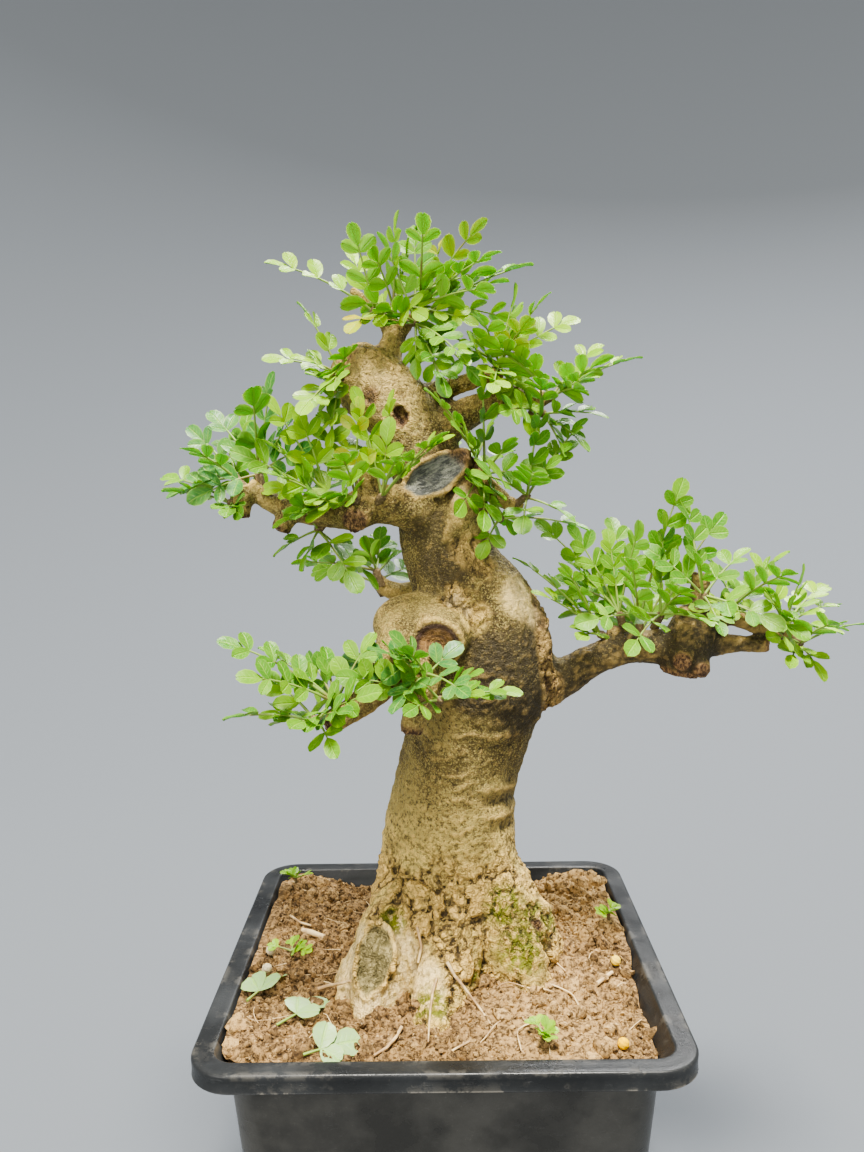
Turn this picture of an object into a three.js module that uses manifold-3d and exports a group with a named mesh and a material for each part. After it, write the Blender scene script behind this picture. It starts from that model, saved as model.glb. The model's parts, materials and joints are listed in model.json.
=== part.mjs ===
// Hupeh ash bonsai in a square nursery pot.
// Millimetres, +Z up. The origin is the centre of the pot's underside.
// The front of the tree, with its sawn burl and its wound, looks along -Y.

import * as THREE from 'three';
import { mergeVertices } from 'three/addons/utils/BufferGeometryUtils.js';
import Module from 'manifold-3d';

const wasm = await Module();
wasm.setup();

// Gap kept between pieces that touch
const GAP = 0.3;

// Pot: a thin square moulding whose rim is a flange with a skirt
const RIM = 180;
const RIM_CORNER = 16.3;
const RIM_FACE = 8.5;
const POT_HEIGHT = 120;
const SKIRT_DROP = 7;
const SHOULDER_DROP = 8;
const WALL = 1.8;
const BODY = 157;
const BODY_CORNER = 12;
const BASE = 137;
const BASE_CORNER = 10;
const FLOOR = 2.4;
const EDGE_ROUND = 1.1;
const CORNER_SEGMENTS = 4;

// Channels that leave nine pads to stand on, and the drain holes round the middle pad
const PAD_RELIEF = 1.2;
const CHANNEL_WIDTH = 9;
const CHANNEL_OFFSET = 31;
const DRAIN_RADIUS = 4.5;
const DRAIN_OFFSET = 48;

// Soil: heaped to the trunk, high at the left and the back right, low behind the trunk
const SOIL_LEVEL = 115;
const SOIL_HIGHEST = 127;
const LEFT_BANK = 3.2;
const RIGHT_DIP = 2.2;
const RIGHT_BANK = 6;
const BACK_HOLLOW = 4.5;
const MOUND_HEIGHT = 8;
const MOUND_SPREAD = 38;
const CLOD_HEIGHT = 1.3;
const CRUMB_HEIGHT = 0.8;
const SOIL_RINGS = 8;
const SOIL_CORNER_SEGMENTS = 2;
const SOIL_SIDE_POINTS = 5;

// Wood: the share by which a round end narrows, and the sides of thick, middling and thin limbs
const ROUND_END = 0.45;
const TRUNK_SIDES = 16;
const TRUNK_STEPS = 20;
const THICK = { over: 12, sides: 8 };
const MIDDLING = { over: 6, sides: 6 };
const THIN_SIDES = 5;

// Leaves: thin arched blades cut into opposite leaflets and one at the end
const BLADE = 0.7;
const RIB_HALF = 0.55;
const LEAFLET = 9;
const LEAFLET_ANGLE = 58 * Math.PI / 180;
const LEAFLET_TIP = [[0.78, -0.34], [0.97, 0.26]];
const END_LEAFLET = 9.45;
const END_STALK = 1.5;
const FIRST_PAIR = 0.34;
const PAIR_PITCH = 10.5;
const LEAF_FOLD = 0.3;
const LEAF_ARCH = 0.13;
const LEAF_TWIST = 1.1;
const TURN_STEP = 0.5;
const TURN_TRIES = 7;

// Spurs that carry the leaves, sunk this far back into the wood
const SPUR_BACK = 7;
const SPUR_RADIUS = 2;
const LEAF_STAGGER = 0.5;

// Weed seedlings: two leaves on a stem that stands in a hole in the soil
const STEM_DEPTH = 5;
const STEM_FOOT = 0.8;
const STEM_TOP = 1.3;
const STEM_LEAVES = 2;
const STEM_LEAF_TURN = 2.8;

const PELLET_RADIUS = 2.25;

// Colours
const PLASTIC = 0x1d1f20;
const EARTH = 0x8a6a48;
const BARK = 0x948259;
const LEAF_GREEN = 0x63a02c;
const LEAF_BLUE = 0x4c8a4e;
const LEAF_PALE = 0xa9c98b;
const PELLET_YELLOW = 0xe0b020;
const PELLET_PALE = 0xd8cda6;

const UP = new THREE.Vector3(0, 0, 1);

// The trunk from its buried foot to its blunt top: x, y, z, half width, half depth
const TRUNK = [
  [6, 2, 88, 20, 18],
  [6, 1, 104, 33, 28],
  [7, 0, 118, 41, 34],
  [7, 0, 129, 39, 32],
  [6, 0, 143, 34.5, 29],
  [4, 0, 160, 29, 26],
  [5, 0, 176, 27.4, 25],
  [8, 0, 200, 25, 24],
  [13, -2, 222, 26, 25],
  [17, -4, 240, 28, 26],
  [18, -4, 254, 27, 26],
  [15, -4, 268, 23.5, 23],
  [8, -3, 283, 19.5, 19.5],
  [3, -2, 297, 18, 18],
  [0, 0, 310, 16.5, 16.5],
  [-5, 1, 326, 15, 15],
  [-13, 3, 343, 14.5, 14.5],
  [-25, 6, 357, 15, 14.5],
  [-34, 8, 365, 13, 12.5],
];

// Limbs with a round end, each from the trunk outwards: x, y, z, radius
const ROUND_LIMBS = [
  // Roots that show above the soil and run on below it
  [[-14, -8, 146, 14], [-26, -20, 131, 11], [-36, -31, 119, 8], [-45, -41, 102, 5]],
  [[-9, -14, 148, 16], [-20, -26, 136, 14.5], [-25, -37, 124, 12], [-30, -46, 109, 8], [-34, -52, 94, 5]],
  [[4, -14, 144, 15], [1, -30, 127, 13], [-3, -46, 115, 9.5], [-6, -60, 106, 6], [-8, -70, 96, 4]],
  [[20, -12, 142, 15], [30, -22, 124, 12], [38, -32, 109, 8], [46, -42, 95, 5]],
  [[26, 2, 140, 15], [37, 4, 122, 11], [48, 7, 105, 7], [56, 9, 92, 5]],
  [[18, 14, 140, 14], [29, 27, 121, 10], [39, 38, 103, 6]],
  [[-10, 14, 140, 14], [-22, 26, 121, 10], [-34, 38, 103, 6]],
  [[4, 18, 138, 14], [3, 33, 119, 10], [4, 46, 102, 6]],
  // Limb that rises beside the wound
  [[8, -10, 291, 9], [11, -13, 303, 8], [13, -12, 315, 6.5], [13, -8, 325, 5]],
];

// Limbs that were cut off flat: x, y, z, radius
const CUT_LIMBS = [
  // Front burl with its sawn disc, and the two branches under it
  [[8, -4, 254, 21], [0, -17, 259, 17], [-2, -29, 262, 12.5], [-1, -37, 263, 9.5]],
  [[2, -10, 262, 15], [-13, -20, 263, 12], [-15, -33, 258, 9.5], [-20, -45, 248, 6.6], [-29, -53, 240, 4.8],
    [-41, -59, 233, 3.6]],
  [[-4, -26, 256, 10], [-5, -40, 250, 7], [-7, -48, 243, 5.5], [-11, -50, 228, 4]],
  // Left branch, then its knob and its stubs
  [[2, -6, 302, 12], [-11, -14, 309, 8.5], [-24, -19, 311, 7.6], [-33, -20, 308, 7.4], [-43, -20, 307, 4.8],
    [-56, -18, 309, 4.4], [-67, -17, 313, 4], [-74, -18, 319, 3.6]],
  [[-28, -18, 311, 7.5], [-31, -25, 306, 6.8], [-32, -29, 304, 5.6]],
  [[-28, -20, 310, 5], [-27, -22, 317, 4], [-26, -24, 326, 3.3]],
  [[-54, -18, 310, 4.5], [-59, -18, 306, 4], [-62, -18, 301, 3.6]],
  [[-74, -18, 319, 4], [-76, -18, 313, 4], [-77, -18, 306, 3.4]],
  // Twig on the right of the wound
  [[11, -7, 322, 5], [21, -6, 316, 3.6], [28, -6, 310, 3], [34, -6, 310, 2.4]],
  // Low branch behind the trunk on the left
  [[0, 6, 277, 8], [-12, 10, 272, 4.6], [-22, 10, 274, 3.6], [-28, 10, 280, 2.8]],
  // Upper right branch and the one above it
  [[-3, 2, 338, 10], [13, 5, 347, 6.4], [29, 8, 352, 4.8], [45, 8, 352, 3.6]],
  [[-12, 6, 350, 8], [5, 8, 357, 4.4], [26, 7, 363, 3]],
  // Leader at the top with its two twigs
  [[-22, 7, 360, 9], [-19, 8, 372, 5.6], [-15, 8, 384, 4.4]],
  [[-17, 8, 379, 3.6], [-26, 9, 390, 2.2], [-34, 9, 397, 1.7]],
  [[-16, 8, 378, 3.6], [-9, 8, 386, 2.4]],
  // Right branch, then its knob, its stubs and its split end
  [[22, -3, 246, 18], [42, -2, 238, 13.5], [51, -2, 238, 8.6], [62, -3, 244, 6.8], [76, -6, 250, 6.3],
    [90, -9, 251, 6.8], [99, -10, 252, 8]],
  [[104, -9, 266, 6.5], [102, -10, 258, 9.5], [99, -11, 249, 9.8], [97, -12, 240, 7]],
  [[99, -14, 250, 6], [95, -23, 247, 3.2]],
  [[103, -14, 246, 5.5], [104, -22, 243, 2.8]],
  [[104, -9, 262, 5.5], [105, -9, 271, 4.4], [106, -8, 281, 3.8]],
  [[104, -9, 258, 5], [117, -9, 263, 3.4], [129, -8, 259, 2.9], [143, -8, 255, 2.4]],
  [[104, -9, 252, 6], [119, -8, 252, 3.8], [134, -8, 251, 2.8]],
  [[71, -5, 248, 5], [73, -4, 259, 3.6]],
  // Branch at the back
  [[2, 8, 304, 9], [9, 24, 311, 5.5], [14, 40, 318, 4.2]],
];

// Rings of callus round old cuts: centre, the way the cut faces, half width, half height, thickness
const CALLUS = [
  { at: [0, -17, 323], facing: [-0.15, -1, 0.12], width: 14, height: 8.5, thick: 2.6, roll: 0.35 },
  { at: [-14, -12, 346], facing: [-0.2, -1, -0.1], width: 5, height: 6, thick: 1.7, roll: 0 },
  { at: [-33, -41, 134], facing: [-0.55, -1, 0.5], width: 7, height: 12, thick: 2.4, roll: -0.3 },
];

// Each spray: name, root and the tips that its leaves reach to
const SPRAYS = [
  ['apex_left', [-25, 4, 388], [[-66, -4, 406], [-32, -8, 418], [-34, -12, 377]]],
  ['apex_top', [-17, 5, 390], [[-15, 0, 424], [-24, -20, 407], [-6, 22, 427]]],
  ['apex_right', [-6, 9, 390], [[20, 4, 422], [25, -8, 408], [5, 24, 421]]],
  ['apex_low_right', [-8, 4, 383], [[39, 8, 406], [13, -22, 363]]],
  ['upper_right_top', [26, 6, 366], [[45, 2, 393], [37, -16, 381], [59, 14, 385]]],
  ['upper_right_end', [48, 8, 353], [[83, 4, 368], [63, -12, 359], [70, 22, 375]]],
  ['upper_right_low', [44, 6, 346], [[70, 2, 344], [40, -18, 358], [61, -8, 330]]],
  ['wound_right', [36, -8, 313], [[41, -16, 349], [56, 0, 334], [54, -18, 303]]],
  ['wound_under', [25, -10, 304], [[61, -10, 299], [12, -28, 320], [16, -24, 289]]],
  ['wound_arch', [19, -10, 322], [[-3, -32, 353], [30, -24, 335]]],
  ['shoulder_left', [-38, -4, 362], [[-53, -6, 389], [-68, -8, 368], [-34, -24, 370]]],
  ['left_blue', [-70, -16, 323], [[-63, -20, 360], [-90, -6, 347]]],
  ['left_mid', [-79, -18, 322], [[-98, -10, 341], [-94, -36, 333], [-88, 8, 337]]],
  ['left_low', [-81, -18, 312], [[-106, -22, 317], [-112, -2, 322], [-79, -36, 307]]],
  ['front_upper_left', [-43, -24, 316], [[-52, -32, 346], [-66, -34, 336], [-40, -12, 351]]],
  ['front_left', [-40, -27, 311], [[-64, -44, 324], [-45, -54, 313], [-62, -36, 303]]],
  ['front_copper', [-31, -28, 314], [[-29, -34, 349], [-34, -56, 330]]],
  ['front_right', [-21, -28, 314], [[5, -40, 336], [-13, -58, 329]]],
  ['hanging', [-47, -18, 301], [[-64, -24, 291], [-52, -34, 286]]],
  ['low_back_left', [-26, 7, 282], [[-47, 4, 291], [-31, -2, 296], [-15, 18, 289]]],
  ['low_back', [-27, 14, 276], [[-47, 22, 280], [-25, 28, 298]]],
  ['right_inner', [66, -5, 256], [[38, -16, 275], [32, -2, 287], [54, -28, 258]]],
  ['right_inner_up', [74, -4, 264], [[80, -14, 301], [42, 8, 301]]],
  ['right_tall', [82, -5, 261], [[99, -4, 317], [73, -32, 289], [74, 18, 301]]],
  ['right_mid', [90, -7, 264], [[90, -12, 304], [118, 4, 303], [95, -34, 278]]],
  ['right_knob', [105, -16, 273], [[98, -32, 291], [125, -6, 290]]],
  ['right_far_up', [120, -8, 268], [[138, -14, 289], [116, 18, 284], [134, 16, 273]]],
  ['right_end_up', [140, -10, 260], [[145, -16, 283], [167, 4, 266], [125, -32, 274]]],
  ['right_end', [146, -10, 252], [[171, -12, 260], [153, -20, 238], [135, -30, 246]]],
  ['low_left_long', [-38, -58, 242], [[-77, -62, 265], [-68, -76, 255], [-24, -50, 264]]],
  ['low_left', [-45, -61, 236], [[-76, -66, 238], [-64, -50, 250], [-50, -80, 238], [-36, -76, 226]]],
  ['low_front', [-5, -50, 250], [[-24, -66, 262], [-15, -54, 270], [8, -44, 259]]],
  ['low_front_right', [0, -50, 240], [[30, -50, 242], [14, -64, 253], [-12, -72, 240]]],
  ['right_back', [84, 4, 254], [[72, 34, 270], [100, 34, 266]]],
  ['left_back', [-48, -12, 312], [[-60, 18, 326], [-38, 22, 320]]],
  ['back_high', [15, 44, 321], [[36, 62, 332], [2, 66, 338], [16, 60, 306]]],
];

// Loose leaves that lie on the soil: name, root and tip seen from above
const FALLEN = [
  ['fallen_leaf_a', [-76, -44], [-66, -26]],
  ['fallen_leaf_b', [-62, -60], [-46, -44]],
  ['fallen_leaf_c', [-50, -76], [-32, -68]],
];

// Weed seedlings: name, foot seen from above, height, spread
const SEEDLINGS = [
  ['seedling_back', [-72, 62], 9, 12],
  ['seedling_right', [74, 16], 10, 11],
  ['seedling_front', [36, -66], 7, 12],
  ['sprig_left', [-64, -8], 6, 14],
];

// Feed pellets: name, place seen from above, colour
const PELLETS = [
  ['pellet_yellow', [65, -67], PELLET_YELLOW],
  ['pellet_straw', [72, -13], PELLET_PALE],
  ['pellet_cream', [-72, -22], PELLET_PALE],
  ['pellet_white', [-73, -6], PELLET_PALE],
];

// A repeatable draw between 0 and 1
function draw(i, j, k) {
  const wave = Math.sin(i * 12.9898 + j * 78.233 + k * 37.719) * 43758.5453;
  return wave - Math.floor(wave);
}

const vector = (point) => new THREE.Vector3(point[0], point[1], point[2]);

const mix = (from, to, share) => from + (to - from) * share;

function smooth(from, to, value) {
  const t = Math.min(1, Math.max(0, (value - from) / (to - from)));
  return t * t * (3 - 2 * t);
}

// A closed skin over rings of equal length. Each end is filled by a fan.
function loft(rings) {
  const count = rings[0].length;
  const points = rings.flat();
  const faces = [];
  for (let r = 0; r + 1 < rings.length; r++) {
    for (let i = 0; i < count; i++) {
      const a = r * count + i;
      const b = r * count + (i + 1) % count;
      faces.push(a, b, b + count, a, b + count, a + count);
    }
  }
  for (const r of [0, rings.length - 1]) {
    const middle = rings[r].reduce((sum, point) => sum.add(point), new THREE.Vector3()).divideScalar(count);
    points.push(middle);
    for (let i = 0; i < count; i++) {
      const a = r * count + i;
      const b = r * count + (i + 1) % count;
      faces.push(...(r === 0 ? [b, a] : [a, b]), points.length - 1);
    }
  }
  const geometry = new THREE.BufferGeometry().setFromPoints(points);
  geometry.setIndex(faces);
  return geometry;
}

function solidOf(geometry) {
  geometry.deleteAttribute('normal');
  geometry.deleteAttribute('uv');
  const merged = mergeVertices(geometry, 1e-4);
  return new wasm.Manifold(new wasm.Mesh({
    numProp: 3,
    vertProperties: new Float32Array(merged.attributes.position.array),
    triVerts: new Uint32Array(merged.index.array),
  }));
}

// The main body of a solid, without the scraps that a cut leaves
function largest(solid) {
  return solid.decompose().reduce((best, piece) => (piece.volume() > best.volume() ? piece : best));
}

const meets = (a, b) => a.intersect(b).volume() > 1e-4;

function meshOf(name, solid, colour, roughness) {
  const { vertProperties, triVerts, numProp } = solid.getMesh();
  const position = new Float32Array(vertProperties.length / numProp * 3);
  for (let i = 0; i < position.length / 3; i++) {
    for (let axis = 0; axis < 3; axis++) {
      position[3 * i + axis] = vertProperties[numProp * i + axis];
    }
  }
  const geometry = new THREE.BufferGeometry();
  geometry.setAttribute('position', new THREE.BufferAttribute(position, 3));
  geometry.setIndex(new THREE.BufferAttribute(new Uint32Array(triVerts), 1));
  geometry.computeVertexNormals();
  const material = new THREE.MeshStandardMaterial({ color: colour, roughness, metalness: 0 });
  const mesh = new THREE.Mesh(geometry, material);
  mesh.name = name;
  return mesh;
}

// A square ring with round corners, with extra points along its straight sides
function squareRing(half, corner, z, segments, sidePoints) {
  const ring = [];
  const reach = half - corner;
  for (let side = 0; side < 4; side++) {
    const turn = side * Math.PI / 2;
    const centre = new THREE.Vector2(reach, reach).rotateAround(new THREE.Vector2(), turn);
    for (let i = 0; i <= segments; i++) {
      const angle = turn + i / segments * Math.PI / 2;
      const x = centre.x + corner * Math.cos(angle);
      const y = centre.y + corner * Math.sin(angle);
      ring.push(new THREE.Vector3(x, y, z));
    }
    const last = ring[ring.length - 1];
    const next = new THREE.Vector2(-reach, half).rotateAround(new THREE.Vector2(), turn);
    for (let i = 1; i <= sidePoints; i++) {
      const share = i / (sidePoints + 1);
      ring.push(new THREE.Vector3(mix(last.x, next.x, share), mix(last.y, next.y, share), z));
    }
  }
  return ring;
}

const SHOULDER = POT_HEIGHT - SHOULDER_DROP;
const MOUTH = RIM / 2 - RIM_FACE;
const MOUTH_CORNER = RIM_CORNER - RIM_FACE;
const THROAT = BODY / 2 - WALL;
const THROAT_CORNER = BODY_CORNER - WALL;

// Half width of the pot's inside at a height
function innerHalf(z) {
  if (z > SHOULDER) {
    return mix(THROAT, MOUTH, (z - SHOULDER) / SHOULDER_DROP);
  }
  return mix(BASE / 2 - WALL, THROAT, z / SHOULDER);
}

function potSolid() {
  const rim = RIM / 2;
  const skirt = POT_HEIGHT - SKIRT_DROP;
  const under = POT_HEIGHT - WALL;
  const rows = [
    [BASE / 2, BASE_CORNER, 0],
    [BODY / 2, BODY_CORNER, SHOULDER],
    [MOUTH + WALL, MOUTH_CORNER + WALL, under],
    [rim - WALL, RIM_CORNER - WALL, under],
    [rim - WALL, RIM_CORNER - WALL, skirt],
    [rim, RIM_CORNER, skirt],
    [rim, RIM_CORNER, POT_HEIGHT - EDGE_ROUND],
    [rim - EDGE_ROUND, RIM_CORNER - EDGE_ROUND, POT_HEIGHT],
    [MOUTH + EDGE_ROUND, MOUTH_CORNER + EDGE_ROUND, POT_HEIGHT],
    [MOUTH, MOUTH_CORNER, POT_HEIGHT - EDGE_ROUND],
    [THROAT, THROAT_CORNER, SHOULDER],
    [innerHalf(FLOOR), BASE_CORNER - WALL, FLOOR],
  ];
  const rings = rows.map(([half, corner, z]) => squareRing(half, corner, z, CORNER_SEGMENTS, 0));
  let pot = solidOf(loft(rings));
  for (const side of [-1, 1]) {
    const across = new THREE.BoxGeometry(RIM, CHANNEL_WIDTH, 2 * PAD_RELIEF);
    across.translate(0, side * CHANNEL_OFFSET, 0);
    const along = new THREE.BoxGeometry(CHANNEL_WIDTH, RIM, 2 * PAD_RELIEF);
    along.translate(side * CHANNEL_OFFSET, 0, 0);
    pot = pot.subtract(solidOf(across)).subtract(solidOf(along));
  }
  for (let i = -1; i <= 1; i++) {
    for (let j = -1; j <= 1; j++) {
      if (i !== 0 || j !== 0) {
        const drain = new THREE.CylinderGeometry(DRAIN_RADIUS, DRAIN_RADIUS, 4 * FLOOR, 8);
        drain.rotateX(Math.PI / 2);
        drain.translate(i * DRAIN_OFFSET, j * DRAIN_OFFSET, 0);
        pot = pot.subtract(solidOf(drain));
      }
    }
  }
  return pot;
}

function soilHeight(x, y) {
  const left = LEFT_BANK * smooth(25, 75, -x);
  const right = smooth(35, 75, x) * (RIGHT_BANK * smooth(-40, 25, y) - RIGHT_DIP);
  const back = -BACK_HOLLOW * smooth(30, 75, y) * (1 - smooth(30, 62, Math.abs(x)));
  const away = x * x + (y + 10) * (y + 10);
  const mound = MOUND_HEIGHT * Math.exp(-away / (2 * MOUND_SPREAD * MOUND_SPREAD));
  const clods = CLOD_HEIGHT * Math.sin(x * 0.31 + 1.3 * Math.sin(y * 0.17)) * Math.cos(y * 0.27 - x * 0.11);
  const crumbs = CRUMB_HEIGHT * (draw(Math.round(x), Math.round(y), 3) - 0.5);
  return Math.min(SOIL_LEVEL + left + right + back + mound + clods + crumbs, SOIL_HIGHEST);
}

// The soil fills the pot. Its edge climbs and dips along the slope under the pot's mouth.
function soilSolid() {
  const ring = (half, corner, z) => squareRing(half, corner, z, SOIL_CORNER_SEGMENTS, SOIL_SIDE_POINTS);
  const floor = FLOOR + GAP;
  const throat = ring(THROAT - GAP, THROAT_CORNER, SHOULDER);
  const edge = throat.map((point) => {
    const z = THREE.MathUtils.clamp(soilHeight(point.x, point.y), SHOULDER + 1, POT_HEIGHT - EDGE_ROUND);
    const wider = (innerHalf(z) - GAP) / (THROAT - GAP);
    return new THREE.Vector3(point.x * wider, point.y * wider, z);
  });
  const rings = [ring(innerHalf(floor) - GAP, BASE_CORNER - WALL, floor), throat, edge];
  for (let r = SOIL_RINGS - 1; r > 0; r--) {
    rings.push(edge.map((point, i) => {
      const share = r / SOIL_RINGS + 0.05 * (draw(i, r, 1) - 0.5);
      const x = point.x * share;
      const y = point.y * share;
      return new THREE.Vector3(x, y, soilHeight(x, y));
    }));
  }
  return solidOf(loft(rings));
}

// A limb is a tube through its stations that turns as little as it can.
// Grow makes it larger all round, for the space that it needs.
function limbSolid(stations, { sides, steps, cut, grow }) {
  const curve = new THREE.CatmullRomCurve3(stations.map(vector), false, 'centripetal');
  const count = stations.length - 1;
  const rings = [];
  let side = null;
  for (let i = 0; i <= steps; i++) {
    const t = i / steps;
    const centre = curve.getPoint(t);
    const along = curve.getTangent(t);
    side = side || (Math.abs(along.x) < 0.9 ? new THREE.Vector3(1, 0, 0) : new THREE.Vector3(0, 1, 0));
    side = side.clone().addScaledVector(along, -side.dot(along)).normalize();
    const front = new THREE.Vector3().crossVectors(along, side);
    const first = Math.min(count - 1, Math.floor(t * count));
    const share = t * count - first;
    const from = stations[first];
    const to = stations[first + 1];
    const wide = mix(from[3], to[3], share);
    const deep = mix(from[4] ?? from[3], to[4] ?? to[3], share);
    const ring = [];
    for (let s = 0; s < sides; s++) {
      const angle = s / sides * 2 * Math.PI;
      const swell = 1 + 0.05 * Math.sin(3 * angle + i * 0.9) + 0.04 * (draw(s, i, count) - 0.5);
      ring.push(centre.clone()
        .addScaledVector(side, (wide + grow) * swell * Math.cos(angle))
        .addScaledVector(front, (deep + grow) * swell * Math.sin(angle)));
    }
    if (i === 0 && grow > 0) {
      rings.push(ring.map((point) => point.clone().addScaledVector(along, -grow)));
    }
    rings.push(ring);
    if (i === steps && !cut) {
      const reach = wide * ROUND_END + grow;
      rings.push(ring.map((point) => point.clone().lerp(centre, ROUND_END).addScaledVector(along, reach)));
    }
    if (i === steps && cut && grow > 0) {
      rings.push(ring.map((point) => point.clone().addScaledVector(along, grow)));
    }
  }
  return solidOf(loft(rings));
}

function sidesOf(radius) {
  if (radius > THICK.over) {
    return THICK.sides;
  }
  return radius > MIDDLING.over ? MIDDLING.sides : THIN_SIDES;
}

// Turns a geometry made flat in X and Y so that it faces a given way, and moves it there
function placeCallus(geometry, { at, facing, roll }) {
  const turn = new THREE.Quaternion().setFromUnitVectors(UP, vector(facing).normalize());
  geometry.applyQuaternion(turn.multiply(new THREE.Quaternion().setFromAxisAngle(UP, roll)));
  geometry.translate(...at);
  return solidOf(geometry);
}

// Trunk, roots and branches grew as one piece. Grow makes the space that they need.
function woodSolid(grow) {
  let wood = limbSolid(TRUNK, { sides: TRUNK_SIDES, steps: TRUNK_STEPS, cut: false, grow });
  for (const [limbs, cut] of [[ROUND_LIMBS, false], [CUT_LIMBS, true]]) {
    for (const stations of limbs) {
      const sides = sidesOf(stations[0][3]);
      wood = wood.add(limbSolid(stations, { sides, steps: stations.length - 1, cut, grow }));
    }
  }
  for (const callus of CALLUS) {
    const { width, height, thick } = callus;
    const ring = new THREE.TorusGeometry(1, (thick + grow) / width, 4, 12);
    ring.scale(width, height, width);
    wood = wood.add(placeCallus(ring, callus));
    if (grow === 0) {
      const dish = new THREE.SphereGeometry(1, 8, 5);
      dish.scale(width - thick * 0.6, height - thick * 0.6, thick * 1.2);
      wood = wood.subtract(placeCallus(dish, callus));
    }
  }
  return largest(wood);
}

// Outline of one pinnate leaf, cut to the rib between its leaflets: along the rib, aside from it
function leafOutline(length) {
  const last = length - END_LEAFLET - END_STALK;
  const first = Math.min(length * FIRST_PAIR, last);
  const pairs = Math.max(1, Math.round((last - first) / PAIR_PITCH) + 1);
  const along = Math.cos(LEAFLET_ANGLE);
  const aside = Math.sin(LEAFLET_ANGLE);
  const side = [];
  for (let p = 0; p < pairs; p++) {
    const s = pairs > 1 ? mix(first, last, p / (pairs - 1)) : last;
    const size = LEAFLET * (0.85 + 0.15 * Math.sin((p + 1) / pairs * Math.PI));
    side.push([s, RIB_HALF]);
    for (const [reach, breadth] of LEAFLET_TIP) {
      side.push([
        s + size * (reach * along + breadth * aside),
        RIB_HALF + size * (reach * aside - breadth * along),
      ]);
    }
  }
  side.push([last + END_STALK + END_LEAFLET * 0.62, END_LEAFLET / 3]);
  side.push([length, 0.8]);
  return [[-RIB_HALF, 0], ...side, ...side.toReversed().map(([s, v]) => [s, -v])];
}

// One leaf as a thin arched blade from its root to its tip, turned about its rib
function leafSolid(root, tip, turn, lift) {
  const length = root.distanceTo(tip);
  const middle = root.clone().lerp(tip, 0.5).addScaledVector(UP, length * lift);
  const rib = new THREE.QuadraticBezierCurve3(root, middle, tip);
  const shape = new THREE.Shape(leafOutline(length).map(([s, v]) => new THREE.Vector2(s, v)));
  const geometry = new THREE.ExtrudeGeometry(shape, { depth: BLADE, bevelEnabled: false, steps: 1 });
  const outward = new THREE.Vector3(root.x, root.y, 0).normalize();
  const position = geometry.attributes.position;
  for (let i = 0; i < position.count; i++) {
    const s = position.getX(i);
    const v = position.getY(i);
    const t = THREE.MathUtils.clamp(s / length, 0, 1);
    const along = rib.getTangent(t);
    const up = new THREE.Vector3(0, -0.25, 0.8).addScaledVector(outward, 0.35);
    up.addScaledVector(along, -up.dot(along)).normalize().applyAxisAngle(along, turn);
    const aside = new THREE.Vector3().crossVectors(up, along);
    const point = rib.getPoint(t)
      .addScaledVector(along, s - t * length)
      .addScaledVector(aside, v)
      .addScaledVector(up, LEAF_FOLD * Math.abs(v) + position.getZ(i) - BLADE / 2);
    position.setXYZ(i, point.x, point.y, point.z);
  }
  return solidOf(geometry);
}

// A spray is a short spur with its leaves. A leaf that would cross another spray turns clear of it.
function spraySolid(index, root, tips, wood, others) {
  const origin = vector(root);
  const axis = new THREE.Vector3();
  for (const tip of tips) {
    axis.add(vector(tip).sub(origin).normalize());
  }
  axis.normalize();
  const back = origin.clone().addScaledVector(axis, -SPUR_BACK);
  const bud = origin.clone().addScaledVector(axis, SPUR_RADIUS);
  const spur = [[...back, SPUR_RADIUS * 0.8], [...bud, SPUR_RADIUS]];
  let spray = limbSolid(spur, { sides: THIN_SIDES, steps: 1, cut: true, grow: 0 });
  tips.forEach((tip, i) => {
    const start = origin.clone().addScaledVector(axis, -LEAF_STAGGER * i);
    for (let attempt = 0; attempt < TURN_TRIES; attempt++) {
      const clear = TURN_STEP * Math.ceil(attempt / 2) * (attempt % 2 ? 1 : -1);
      const leaf = leafSolid(start, vector(tip), LEAF_TWIST * (draw(index, i, 0) - 0.5) + clear, LEAF_ARCH);
      if (!others.some((other) => meets(other, leaf))) {
        spray = spray.add(leaf);
        return;
      }
    }
  });
  return largest(spray.subtract(wood));
}

// A seedling's stem, standing in the soil
function stemSolid([x, y], height, grow) {
  const ground = soilHeight(x, y);
  const stations = [[x, y, ground - STEM_DEPTH, STEM_FOOT], [x, y, ground + height + STEM_FOOT, STEM_TOP]];
  return limbSolid(stations, { sides: THIN_SIDES, steps: 1, cut: true, grow });
}

function seedlingSolid(index, foot, height, spread) {
  const top = new THREE.Vector3(foot[0], foot[1], soilHeight(...foot) + height);
  let plant = stemSolid(foot, height, 0);
  for (let i = 0; i < STEM_LEAVES; i++) {
    const angle = index + i * STEM_LEAF_TURN;
    const tip = top.clone().add(new THREE.Vector3(spread * Math.cos(angle), spread * Math.sin(angle), 2));
    plant = plant.add(leafSolid(top, tip, 0, 0.1));
  }
  return plant;
}

// Lifts a solid made at height 0 until it lies clear of the soil
function restOnSoil(solid, [x, y], soil) {
  let lying = solid.translate(0, 0, soilHeight(x, y) - PELLET_RADIUS);
  while (meets(lying, soil)) {
    lying = lying.translate(0, 0, GAP);
  }
  return lying;
}

const group = new THREE.Group();
const wood = woodSolid(0);
const woodSpace = woodSolid(GAP);

let soil = soilSolid().subtract(woodSpace);
SEEDLINGS.forEach(([name, foot, height, spread], index) => {
  soil = soil.subtract(stemSolid(foot, height, GAP));
  group.add(meshOf(name, seedlingSolid(index, foot, height, spread), LEAF_GREEN, 0.5));
});
soil = largest(soil);

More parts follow.
